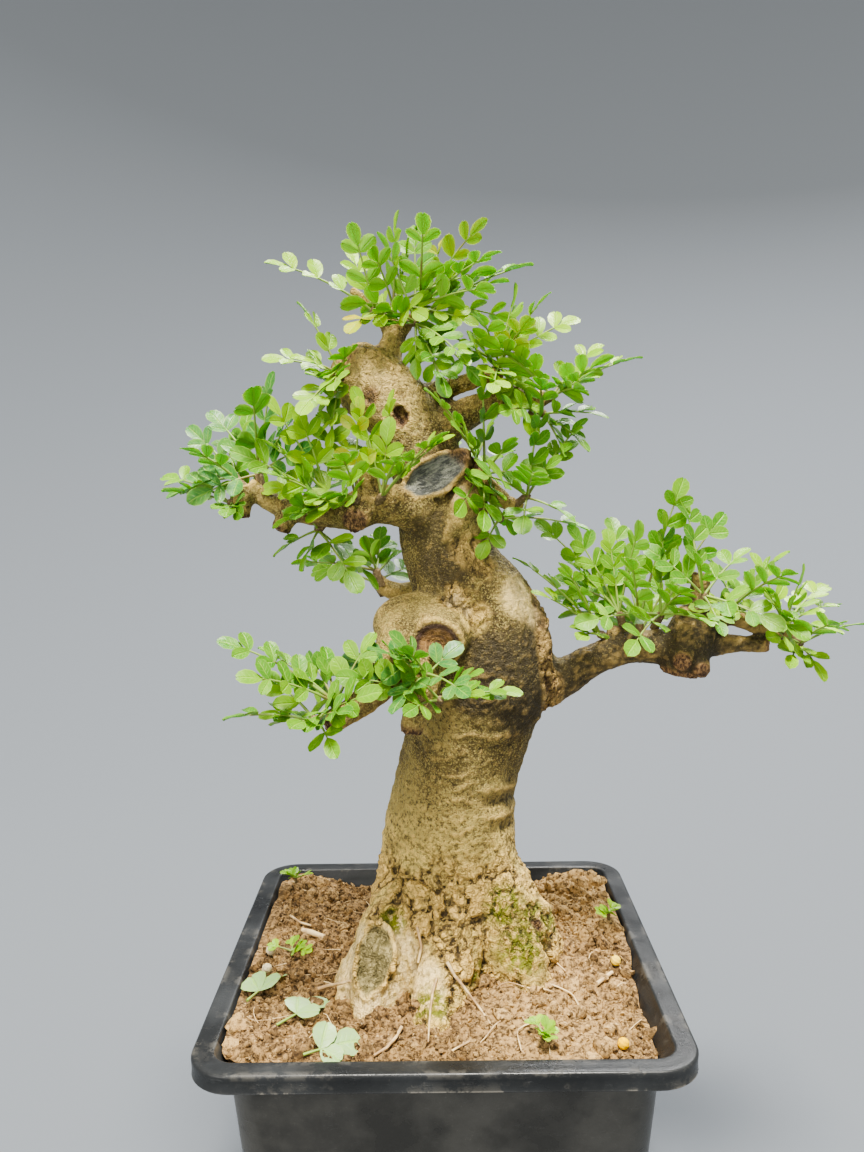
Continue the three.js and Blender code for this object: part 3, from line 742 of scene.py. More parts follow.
class Recipe:
    """A Geometry Nodes tree with named inputs, built in the script."""

    def __init__(self, name: str, **inputs: str) -> None:
        """Starts a tree.

        Args:
            name: Name of the tree.
            **inputs: Socket type of each input after the geometry.
        """
        self.tree = bpy.data.node_groups.new(name, "GeometryNodeTree")
        face = self.tree.interface
        for label, kind in {"Geometry": "Geometry", **inputs}.items():
            face.new_socket(label, in_out="INPUT", socket_type=f"NodeSocket{kind}")
        face.new_socket("Geometry", in_out="OUTPUT", socket_type="NodeSocketGeometry")
        self.graph = Graph(self.tree)
        self.start = self.graph.node("NodeGroupInput")

    def given(self, name: str) -> Value:
        """One of the tree's inputs."""
        return Value(self.graph, self.start.outputs[name])

    def place(self) -> Value:
        """The place of each point in millimetres."""
        return self.graph.scaled(self.graph.add("GeometryNodeInputPosition"), (1 / MM,) * 3)

    def named(self, name: str, kind: str = "FLOAT") -> Value:
        """A named attribute of the geometry."""
        return self.graph.add("GeometryNodeInputNamedAttribute", {"Name": name}, data_type=kind)

    def store(self, geometry: Value, name: str, value: Value, kind: str = "FLOAT",
              domain: str = "POINT") -> Value:
        """The geometry with a named attribute written on it."""
        inputs = {"Geometry": geometry, "Name": name, "Value": value}
        return self.graph.add("GeometryNodeStoreNamedAttribute", inputs, data_type=kind, domain=domain)

    def chance(self, low: float, high: float, seed: int) -> Value:
        """A random number with a fixed seed."""
        inputs = {2: low, 3: high, "Seed": seed}
        return self.graph.add("FunctionNodeRandomValue", inputs, 1, data_type="FLOAT")

    def moved(self, geometry: Value, offset: Value) -> Value:
        """The geometry with its points moved."""
        return self.graph.add("GeometryNodeSetPosition", {"Geometry": geometry, "Offset": offset})

    def placed(self, kinds: Value, points: Value, **inputs: Value) -> Value:
        """Things of a collection set on points.

        Args:
            kinds: The collection.
            points: Points to set them on.
            **inputs: How they are picked, turned and scaled, with _ for a space in the name.

        Returns:
            The instances.
        """
        things = self.graph.add("GeometryNodeCollectionInfo", {
            "Collection": kinds, "Separate Children": True, "Reset Children": True})
        return self.graph.add("GeometryNodeInstanceOnPoints", {
            "Points": points, "Instance": things, "Pick Instance": True,
            **{name.replace("_", " "): value for name, value in inputs.items()}})

    def real(self, geometry: Value) -> Value:
        """The geometry with its instances made real."""
        return self.graph.add("GeometryNodeRealizeInstances", {0: geometry})

    def skinned(self, geometry: Value, material: Value) -> Value:
        """The geometry with a material."""
        return self.graph.add("GeometryNodeSetMaterial", {"Geometry": geometry, "Material": material})

    def joined(self, parts: list[Value]) -> Value:
        """All parts as one."""
        return self.graph.add("GeometryNodeJoinGeometry", {0: parts})

    def strand(self, chains: Value, sides: Value, skin: Value) -> Value:
        """Makes chains of edges round.

        Args:
            chains: Geometry with the chains and a radius_m attribute.
            sides: Sides of a strand.
            skin: Its material.

        Returns:
            The strands.
        """
        graph, radius = self.graph, self.named("radius_m")
        lines = graph.add("GeometryNodeMeshToCurve", {0: chains})
        sized = graph.add("GeometryNodeSetCurveRadius", {"Curve": lines, "Radius": radius})
        ring = graph.add("GeometryNodeCurvePrimitiveCircle", {"Resolution": sides, "Radius": 1.0})
        tube = graph.node("GeometryNodeCurveToMesh",
                          {"Curve": sized, "Profile Curve": ring, "Fill Caps": True})
        if "Scale" in tube.inputs:
            graph.tree.links.new(radius.socket, tube.inputs["Scale"])
        soft = graph.add("GeometryNodeSetShadeSmooth", {"Geometry": Value(graph, tube.outputs[0])})
        return self.skinned(soft, skin)

    def close(self, geometry: Value) -> NodeTree:
        """Ends the tree with what it gives out."""
        self.graph.node("NodeGroupOutput", {0: geometry})
        return self.tree

    @staticmethod
    def apply(made: Object, tree: NodeTree, **values: object) -> Object:
        """Runs a tree on an object and keeps the plain mesh.

        Args:
            made: Object whose mesh goes into the tree.
            tree: The tree.
            **values: Value of each input.

        Returns:
            The object with its new mesh.
        """
        modifier = made.modifiers.new(tree.name, "NODES")
        modifier.node_group = tree
        sockets = {s.name: s.identifier for s in tree.interface.items_tree if s.in_out == "INPUT"}
        for name, value in values.items():
            modifier[sockets[name]] = value
        return baked(made)


class Template:
    """Small meshes that a tree places many times."""

    def __init__(self, name: str) -> None:
        """Opens a collection for the small meshes."""
        self.collection = bpy.data.collections.new(name)
        bpy.context.scene.collection.children.link(self.collection)

    def take(self, made: Object) -> None:
        """Moves an object into the collection."""
        bpy.context.scene.collection.objects.unlink(made)
        self.collection.objects.link(made)

    def drop(self) -> None:
        """Removes the collection and all that it holds."""
        for made in list(self.collection.objects):
            bpy.data.objects.remove(made)
        bpy.data.collections.remove(self.collection)


def square_ring(half: float, corner: float, segments: int, along: int) -> np.ndarray:
    """A square with round corners, seen from above.

    Args:
        half: Half the width of the square.
        corner: Radius of its corners.
        segments: Steps round each corner.
        along: Extra points along each side.

    Returns:
        Its points, two numbers each.
    """
    ring = []
    reach = half - corner
    for side in range(4):
        turn = side * math.pi / 2
        c, s = round(math.cos(turn)), round(math.sin(turn))
        centre = np.array([reach * c - reach * s, reach * s + reach * c])
        for i in range(segments + 1):
            angle = turn + i / segments * math.pi / 2
            ring.append(centre + corner * np.array([math.cos(angle), math.sin(angle)]))
        last = ring[-1]
        following = np.array([-reach * c - half * s, -reach * s + half * c])
        for i in range(1, along + 1):
            ring.append(last + (following - last) * i / (along + 1))
    return np.array(ring)


def loft(rings: Sequence[np.ndarray]) -> Skin:
    """A closed skin over rings of equal length.

    Args:
        rings: The rings, from the first end to the last, turning to the left seen from the last end.

    Returns:
        The points and the faces.
    """
    count = len(rings[0])
    faces = []
    for r in range(len(rings) - 1):
        for i in range(count):
            a, b = r * count + i, r * count + (i + 1) % count
            faces.append([a, b, b + count, a + count])
    faces.append(list(range(count))[::-1])
    faces.append([(len(rings) - 1) * count + i for i in range(count)])
    return np.concatenate(rings), faces


@dataclass
class Pot:
    """The square nursery pot: body, flange with its skirt, channels and drain holes."""

    rim: float = 180.0
    rim_corner: float = 16.3
    rim_face: float = 8.5
    height: float = 120.0
    skirt_drop: float = 7.0
    shoulder_drop: float = 8.0
    wall: float = 1.8
    body: float = 157.0
    body_corner: float = 12.0
    base: float = 137.0
    base_corner: float = 10.0
    floor: float = 2.4
    edge: float = 1.1
    corner_steps: int = 10
    side_steps: int = 11
    relief: float = 1.2
    channel: float = 9.0
    channel_offset: float = 31.0
    drain: float = 4.5
    drain_offset: float = 48.0

    @property
    def mouth(self) -> float:
        """Half width of the opening at the rim."""
        return self.rim / 2 - self.rim_face

    def inner_half(self, z: np.ndarray) -> np.ndarray:
        """Half width of the pot's inside.

        Args:
            z: Heights.

        Returns:
            Half widths.
        """
        shoulder = self.height - self.shoulder_drop
        throat = self.body / 2 - self.wall
        low = self.base / 2 - self.wall
        return np.where(z > shoulder, throat + (self.mouth - throat) * (z - shoulder) / self.shoulder_drop,
                        low + (throat - low) * z / shoulder)

    def rows(self) -> list[tuple[float, float, float, float, float]]:
        """The section, from under the base over the rim to the floor inside.

        Returns:
            Half width, corner radius, height, wear and dust of each row.
        """
        top, edge, wall = self.height, self.edge, self.wall
        skirt, under, shoulder = top - self.skirt_drop, top - wall, top - self.shoulder_drop
        base, body = (self.base / 2, self.base_corner), (self.body / 2, self.body_corner)
        rim, mouth = (self.rim / 2, self.rim_corner), (self.mouth, self.rim_corner - self.rim_face)
        rows = []

        def row(ring: tuple[float, float], out: float, z: float, wear: float = 0.0,
                dust: float = 0.0) -> None:
            """Adds a row at a distance outside a ring."""
            rows.append((ring[0] + out, ring[1] + out, z, wear, dust))

        first = 1.2
        row(base, -1.2, 0.0)
        row(base, -0.3, 0.3, 0.6)
        row(base, 0.0, first, 0.3)
        for t in np.arange(1, 8) / 8:
            half = base[0] + (body[0] - base[0]) * (first + (shoulder - first) * t) / shoulder
            row((half, base[1] + (body[1] - base[1]) * t), 0.0, first + (shoulder - first) * t, 0.0, 1.0)
        row(body, 0.0, shoulder, 0.0, 1.0)
        row(mouth, wall, under - 0.2)
        row(mouth, wall + 0.4, under)
        row(rim, -wall - 0.3, under)
        row(rim, -wall, under - 0.3)
        row(rim, -wall, skirt + 0.3)
        row(rim, 0.3 - wall, skirt, 0.5)
        row(rim, -0.25, skirt, 1.0)
        row(rim, 0.0, skirt + 0.3, 1.0)
        row(rim, -0.18, skirt + 0.8, 0.25)
        row(rim, -0.1, top - 2.4)
        arc = np.arange(5) / 4 * math.pi / 2
        for angle in arc:
            row(rim, -edge * (1 - math.cos(angle)), top - edge * (1 - math.sin(angle)), 0.35)
        row(rim, -3.0, top - 0.05, 0.05)
        row(mouth, 3.0, top - 0.10, 0.10)
        for angle in arc:
            row(mouth, edge * (1 - math.sin(angle)), top - edge * (1 - math.cos(angle)), 0.4)
        rows.append((float(self.inner_half(np.array(top - 4.0))), mouth[1] + 0.9, top - 4.0, 0.0, 0.0))
        row(body, -wall, shoulder)
        rows.append((base[0] - wall + 0.2, base[1] - wall, self.floor + 1.5, 0.0, 1.0))
        row(base, -wall - 1.0, self.floor, 0.0, 1.0)
        return rows

    def build(self, finish: Finish) -> None:
        """Builds the pot, which stands for its solid.

        Args:
            finish: The plastic.
        """
        rings, wear, dust = [], [], []
        for half, corner, z, worn, dusty in self.rows():
            flat = square_ring(half, corner, self.corner_steps, self.side_steps)
            rings.append(np.column_stack([flat, np.full(len(flat), z)]))
            wear += [worn] * len(flat)
            dust += [dusty] * len(flat)
        made = mesh_object("nursery_pot", *loft(rings))
        write_attribute(made.data, "wear", "FLOAT", np.array(wear))
        write_attribute(made.data, "dusty", "FLOAT", np.array(dust))
        cutter = self.cutter()
        cut = made.modifiers.new("base", "BOOLEAN")
        cut.object, cut.operation, cut.solver, cut.use_self = cutter, "DIFFERENCE", "EXACT", True
        baked(made)
        bpy.data.objects.remove(cutter)
        shade(made, 50.0)
        made.data.materials.clear()
        made.data.materials.append(finish.material())
        hand_over(made, "pot_plastic", ["pot"])

    def cutter(self) -> Object:
        """Channels and drain holes as one mesh.

        Returns:
            The mesh object.
        """
        work = bmesh.new()
        for side in (-1, 1):
            for size, place in (((self.rim, self.channel), (0.0, side * self.channel_offset)),
                                ((self.channel, self.rim), (side * self.channel_offset, 0.0))):
                scale = Matrix.Diagonal((*[s * MM for s in size], 2 * self.relief * MM, 1.0))
                move = Matrix.Translation(Vector((*place, 0.0)) * MM)
                bmesh.ops.create_cube(work, size=1.0, matrix=move @ scale)
        radius = self.drain * MM
        for i, j in ((-1, -1), (-1, 0), (-1, 1), (0, -1), (0, 1), (1, -1), (1, 0), (1, 1)):
            move = Matrix.Translation(Vector((i * self.drain_offset, j * self.drain_offset, 0.0)) * MM)
            bmesh.ops.create_cone(work, cap_ends=True, segments=24, radius1=radius, radius2=radius,
                                  depth=4 * self.floor * MM, matrix=move)
        return from_bmesh("pot_cutter", work)


@dataclass
class Soil:
    """The earth in the pot, with crumbs, clods and rootlets."""

    pot: Pot
    level: float = 115.0
    highest: float = 127.0
    left_bank: float = 3.2
    right_dip: float = 2.2
    right_bank: float = 6.0
    back_hollow: float = 4.5
    mound: float = 8.0
    mound_spread: float = 38.0
    clod: float = 1.3
    pitch: float = 1.0
    clearance: float = 0.3
    ring_steps: tuple[int, int] = (8, 32)
    crumb_size: tuple[float, float] = (0.45, 1.80)
    clod_size: tuple[float, float] = (1.3, 4.2)
    crumb_density: float = 0.20
    clod_density: float = 0.026
    straw_step: float = 2.2
    straws: Sequence[tuple] = (
        (0.75, (1.5, -43.2, 135.4), (4.4, -45.4, 130.8), (7.8, -46, 126.7), (10.7, -46, 122.5),
         (14, -50, 120), (17.2, -58.7, 119.4)),
        (0.60, (-2.5, -46.5, 130.7), (-4.1, -50.5, 127.3), (-5, -56.8, 123.8), (-5.5, -62.5, 120.8),
         (-5.8, -68.8, 118.5)),
        (0.80, (-15.7, -60.2, 119.2), (-17.7, -65.3, 118.2), (-20.9, -71.4, 118), (-25.1, -75, 117.5)),
        (0.80, (-49.2, -38, 122), (-44.9, -36.6, 122.7), (-39.9, -38.8, 124.8), (-36, -41.8, 127.4)),
        (1.70, (-62.8, 14.3, 120.2), (-59, 13.9, 119.8), (-51.9, 7.9, 120.2)),
        (0.60, (-70.4, 31.8, 119.2), (-64.8, 23.2, 120), (-59, 17.8, 121)),
        (0.65, (-10.1, -34.5, 145.5), (-8.4, -36.6, 138.4), (-9.8, -39.2, 133.1)),
        (0.90, (62, -27, 117), (69.5, -18.8, 117.3)),
        (0.50, (9.3, -70, 119.5), (4.1, -73, 118.6), (1.3, -75, 118)))

    def height(self, x: np.ndarray, y: np.ndarray) -> np.ndarray:
        """Height of the soil's surface, as on its solid.

        Args:
            x: Places to the right.
            y: Places to the back.

        Returns:
            Heights.
        """
        x, y = np.asarray(x, float), np.asarray(y, float)
        left = self.left_bank * smooth(25, 75, -x)
        right = smooth(35, 75, x) * (self.right_bank * smooth(-40, 25, y) - self.right_dip)
        back = -self.back_hollow * smooth(30, 75, y) * (1 - smooth(30, 62, np.abs(x)))
        away = x * x + (y + 10) ** 2
        mound = self.mound * np.exp(-away / (2 * self.mound_spread ** 2))
        clods = self.clod * np.sin(x * 0.31 + 1.3 * np.sin(y * 0.17)) * np.cos(y * 0.27 - x * 0.11)
        return np.minimum(self.level + left + right + back + mound + clods, self.highest)

    def edge_ring(self) -> tuple[np.ndarray, np.ndarray]:
        """The soil's edge where it meets the wall.

        Returns:
            The ring's places and heights.
        """
        shoulder = self.pot.height - self.pot.shoulder_drop
        throat = self.pot.body / 2 - self.pot.wall
        flat = square_ring(throat - self.clearance, self.pot.body_corner - self.pot.wall, *self.ring_steps)
        z = np.clip(self.height(flat[:, 0], flat[:, 1]), shoulder + 1, self.pot.height - 1.4)
        wider = (self.pot.inner_half(z) - self.clearance) / (throat - self.clearance)
        return flat * wider[:, None], z

    def surface(self, resting: Sequence[Spot]) -> Object:
        """The closed body of the soil with its fine top.

        Args:
            resting: Place, height and radius of each piece that lies on the soil.

        Returns:
            The object.
        """
        edge, edge_z = self.edge_ring()
        floor = self.pot.floor + self.clearance
        low = square_ring(float(self.pot.inner_half(np.array(floor))) - self.clearance,
                          self.pot.base_corner - self.pot.wall, *self.ring_steps)
        throat = square_ring(self.pot.body / 2 - self.pot.wall - self.clearance,
                             self.pot.body_corner - self.pot.wall, *self.ring_steps)
        rings = [np.column_stack([low, np.full(len(low), floor)]),
                 np.column_stack([throat, np.full(len(low), self.pot.height - self.pot.shoulder_drop)]),
                 np.column_stack([edge, edge_z])]
        steps = int(self.pot.body / 2 / self.pitch)
        for step in range(steps - 1, 0, -1):
            flat = edge * step / steps
            z = self.height(flat[:, 0], flat[:, 1])
            near = smooth(steps - 5, steps, np.full(len(z), float(step)))
            rings.append(np.column_stack([flat, z * (1 - near) + edge_z * near]))
        points, faces = loft(rings)
        for x, y, z, radius in resting:
            away = np.hypot(points[:, 0] - x, points[:, 1] - y)
            share = (1 - smooth(radius, radius + 4, away)) * (points[:, 2] > self.level - 4)
            points[:, 2] += (z - points[:, 2]) * share
        return mesh_object("soil_bed", points, faces)

    def build(self, finish: Finish, resting: Sequence[Spot]) -> None:
        """Builds the soil with its crumbs; it stands for its solid.

        Args:
            finish: The earth.
            resting: Place, height and radius of each piece that lies on the soil.
        """
        made = self.surface(resting)
        x, y, z = points_of(made.data).T
        top = (z > self.pot.height - self.pot.shoulder_drop + 0.5).astype(float)
        inside = np.maximum(np.abs(x), np.abs(y))
        crumby = top * smooth(24, 34, np.hypot(x - 6, y))
        dry = smooth(-5, 30, x) * smooth(10, -35, y) * smooth(74, 50, x)
        kept = np.ones(len(z))
        for at_x, at_y, _, radius in resting:
            kept *= smooth(radius - 0.5, radius + 2.0, np.hypot(x - at_x, y - at_y))
        crumby = crumby * kept * smooth(79.0, 76.0, inside) * (1 - 0.55 * dry)
        write_attribute(made.data, "top", "FLOAT", top * smooth(80.5, 77.0, inside))
        write_attribute(made.data, "crumby", "FLOAT", crumby)
        # painted light: the back right is made paler and dustier where light falls on it
        dry = np.maximum(dry, 1.8 * smooth(22, 42, x) * smooth(0, 25, y))
        write_attribute(made.data, "dry", "FLOAT", dry)
        crumbs = self.stones("crumbs", 5, 1, 0.34)
        clods = self.stones("clods", 5, 2, 0.30)
        Recipe.apply(made, self.recipe(), Crumbs=crumbs.collection, Clods=clods.collection,
                     Earth=finish.material(), Crumb_density=self.crumb_density / MM ** 2,
                     Clod_density=self.clod_density / MM ** 2)
        crumbs.drop()
        clods.drop()
        shade(made, 60.0)
        hand_over(made, "soil", ["soil"])

    def stones(self, name: str, count: int, detail: int, rough: float) -> Template:
        """Irregular stones of about 1 mm radius.

        Args:
            name: Name of the collection.
            count: How many kinds.
            detail: Subdivisions of the ball that each starts as.
            rough: Share by which its points move in and out.

        Returns:
            The collection of stones.
        """
        made = Template(name)
        for kind in range(count):
            work = bmesh.new()
            bmesh.ops.create_icosphere(work, subdivisions=detail, radius=1.0)
            for i, point in enumerate(work.verts):
                point.co *= 1 + rough * (2 * draw(kind, i, detail) - 1)
                point.co.x *= 0.8 + 0.5 * draw(kind, 1, 5)
                point.co.z *= 0.7
            stone = from_bmesh(f"{name}_{kind}", work)
            stone.data.transform(Matrix.Scale(MM, 4))
            made.take(stone)
        return made

    def recipe(self) -> NodeTree:
        """Fine relief on the surface, then crumbs and clods strewn over it.

        Returns:
            The tree of nodes.
        """
        recipe = Recipe("strewn soil", Crumbs="Collection", Clods="Collection", Earth="Material",
                        Crumb_density="Float", Clod_density="Float")
        graph, place = recipe.graph, recipe.place()
        bumpy = graph.noise(place, 0.34, 5.0, 0.65) - 0.5
        pebbly = 0.42 - graph.cells(place, 0.36, "F1", "EUCLIDEAN")
        rise = (bumpy * 3.8 + pebbly * 2.0) * recipe.named("top") * MM
        ground = recipe.moved(recipe.given("Geometry"), graph.add("ShaderNodeCombineXYZ", {2: rise}))
        parts = [ground]
        for label, density, (low, high), seed in (("Crumbs", "Crumb_density", self.crumb_size, 3),
                                                  ("Clods", "Clod_density", self.clod_size, 8)):
            dense = recipe.given(density) * recipe.named("crumby")
            inputs = {"Mesh": ground, "Density": dense, "Seed": seed}
            spots = graph.add("GeometryNodeDistributePointsOnFaces", inputs)
            turn = graph.add("FunctionNodeRandomValue", {1: (6.28, 6.28, 6.28), "Seed": seed + 1},
                             data_type="FLOAT_VECTOR")
            size = graph.math("POWER", recipe.chance(0.0, 1.0, seed + 2), 2.2)
            size = graph.add("ShaderNodeMapRange", {0: size, 3: low, 4: high})
            placed = recipe.placed(recipe.given(label), spots, Rotation=turn, Scale=size)
            parts.append(recipe.store(placed, "tone", recipe.chance(0.0, 1.0, seed + 3), domain="INSTANCE"))
        return recipe.close(recipe.skinned(recipe.real(recipe.joined(parts)), recipe.given("Earth")))

    def rootlets(self, finish: Finish, count: int = 46) -> None:
        """Builds the straws and rootlets that lie on the soil, all as one piece.

        Args:
            finish: The straw.
            count: How many rootlets lie about.
        """
        points, edges, radii = [], [], []
        for thick, *chain in self.straws:
            edges += [(len(points) + i, len(points) + i + 1) for i in range(len(chain) - 1)]
            points += chain
            radii += [thick * MM * (1 - 0.12 * i) for i in range(len(chain))]
        for k in range(count):
            x, y = 150 * (draw(k, 1, 1) - 0.5), 150 * (draw(k, 2, 1) - 0.5)
            if math.hypot(x - 6, y) < 40 or k % 4 == 0:
                angle = FULL_TURN * draw(k, 3, 1)
                x, y = 6 + 47 * math.cos(angle), -8 + 50 * math.sin(angle)
            heading, bend = FULL_TURN * draw(k, 4, 1), 0.5 * (draw(k, 5, 1) - 0.5)
            radius, steps = 0.16 + 0.30 * draw(k, 6, 1) ** 3, 5 + int(7 * draw(k, 7, 1))
            first = len(points)
            for s in range(steps):
                heading += bend + 0.5 * (draw(k, s, 8) - 0.5)
                x, y = x + self.straw_step * math.cos(heading), y + self.straw_step * math.sin(heading)
                if max(abs(x), abs(y)) > 76 or math.hypot((x - 6) / 1.1, y) < 30:
                    break
                lift = 0.7 + 1.5 * math.sin(math.pi * s / steps) * draw(k, 9, 1)
                points.append((x, y, float(self.height(x, y)) + lift))
                radii.append(radius * MM * (1 - 0.5 * s / steps))
            edges += [(i, i + 1) for i in range(first, len(points) - 1)]
        made = mesh_object("rootlets", np.array(points), [], edges)
        write_attribute(made.data, "radius_m", "FLOAT", np.array(radii))
        recipe = Recipe("strands", Sides="Int", Skin="Material")
        tube = recipe.strand(recipe.given("Geometry"), recipe.given("Sides"), recipe.given("Skin"))
        Recipe.apply(made, recipe.close(recipe.real(tube)), Sides=5, Skin=finish.material())
        hand_over(made, "soil")


@dataclass(frozen=True)
class Scar:
    """An old cut with its ring of callus: a place, the way it faces and its size."""

    at: Point
    facing: Point
    width: float
    height: float
    roll: float
    depth: float
    lip: float

    @staticmethod
    def waves(angle: np.ndarray) -> np.ndarray:
        """How much farther out the uneven rim is at each angle, as a share."""
        return 1 + 0.04 * np.sin(3 * angle + 1) + 0.03 * np.sin(7 * angle)

    def axes(self) -> tuple[np.ndarray, np.ndarray, np.ndarray]:
        """The directions of the mark.

        Returns:
            Its long way, its short way and the way it faces.
        """
        w = unit(np.array(self.facing))
        u = unit(np.cross((0.0, 0.0, 1.0), w))
        v = np.cross(w, u)
        c, s = math.cos(self.roll), math.sin(self.roll)
        return u * c + v * s, v * c - u * s, w

    def local(self, points: np.ndarray) -> tuple[np.ndarray, np.ndarray, np.ndarray]:
        """Places on the scar's own axes.

        Args:
            points: Points in millimetres.

        Returns:
            Share of the way to the rim, angle round the scar and height above it.
        """
        u, v, w = self.axes()
        away = points - np.array(self.at)
        a, b = away @ u / self.width, away @ v / self.height
        return np.hypot(a, b), np.arctan2(b, a), away @ w

    def ring(self, share: float, lift: float, sides: int = 48) -> np.ndarray:
        """An ellipse along the scar's rim.

        Args:
            share: Its size as a share of the rim.
            lift: Its height above the scar.
            sides: How many points it has.

        Returns:
            The points.
        """
        u, v, w = self.axes()
        angles = turn_of(sides)
        wavy = share * self.waves(angles)
        return (np.array(self.at) + np.outer(self.width * wavy * np.cos(angles), u)
                + np.outer(self.height * wavy * np.sin(angles), v) + w * lift)

    def callus(self, around: int = 12) -> Skin:
        """The roll of callus round the rim.

        Args:
            around: Sides of the roll.

        Returns:
            Points and faces.
        """
        rim = self.ring(1.0, 0.0)
        w = self.axes()[2]
        count = len(rim)
        rings, angles = [], turn_of(around)
        for i, point in enumerate(rim):
            outward = unit(point - np.array(self.at))
            size = self.lip * (0.85 + 0.25 * math.sin(i * 0.9) * math.sin(i * 0.37))
            around_rim = np.outer(size * np.cos(angles), outward) + np.outer(size * np.sin(angles), w)
            rings.append(point + around_rim)
        faces = [[i * around + j, (i + 1) % count * around + j, (i + 1) % count * around + (j + 1) % around,
                  i * around + (j + 1) % around] for i in range(count) for j in range(around)]
        return np.concatenate(rings), faces


@dataclass(frozen=True)
class CutEnd:
    """The flat end of a pruned limb: its middle, the way it faces and its radius."""

    at: Point
    facing: Point
    radius: float
    raw: bool = False


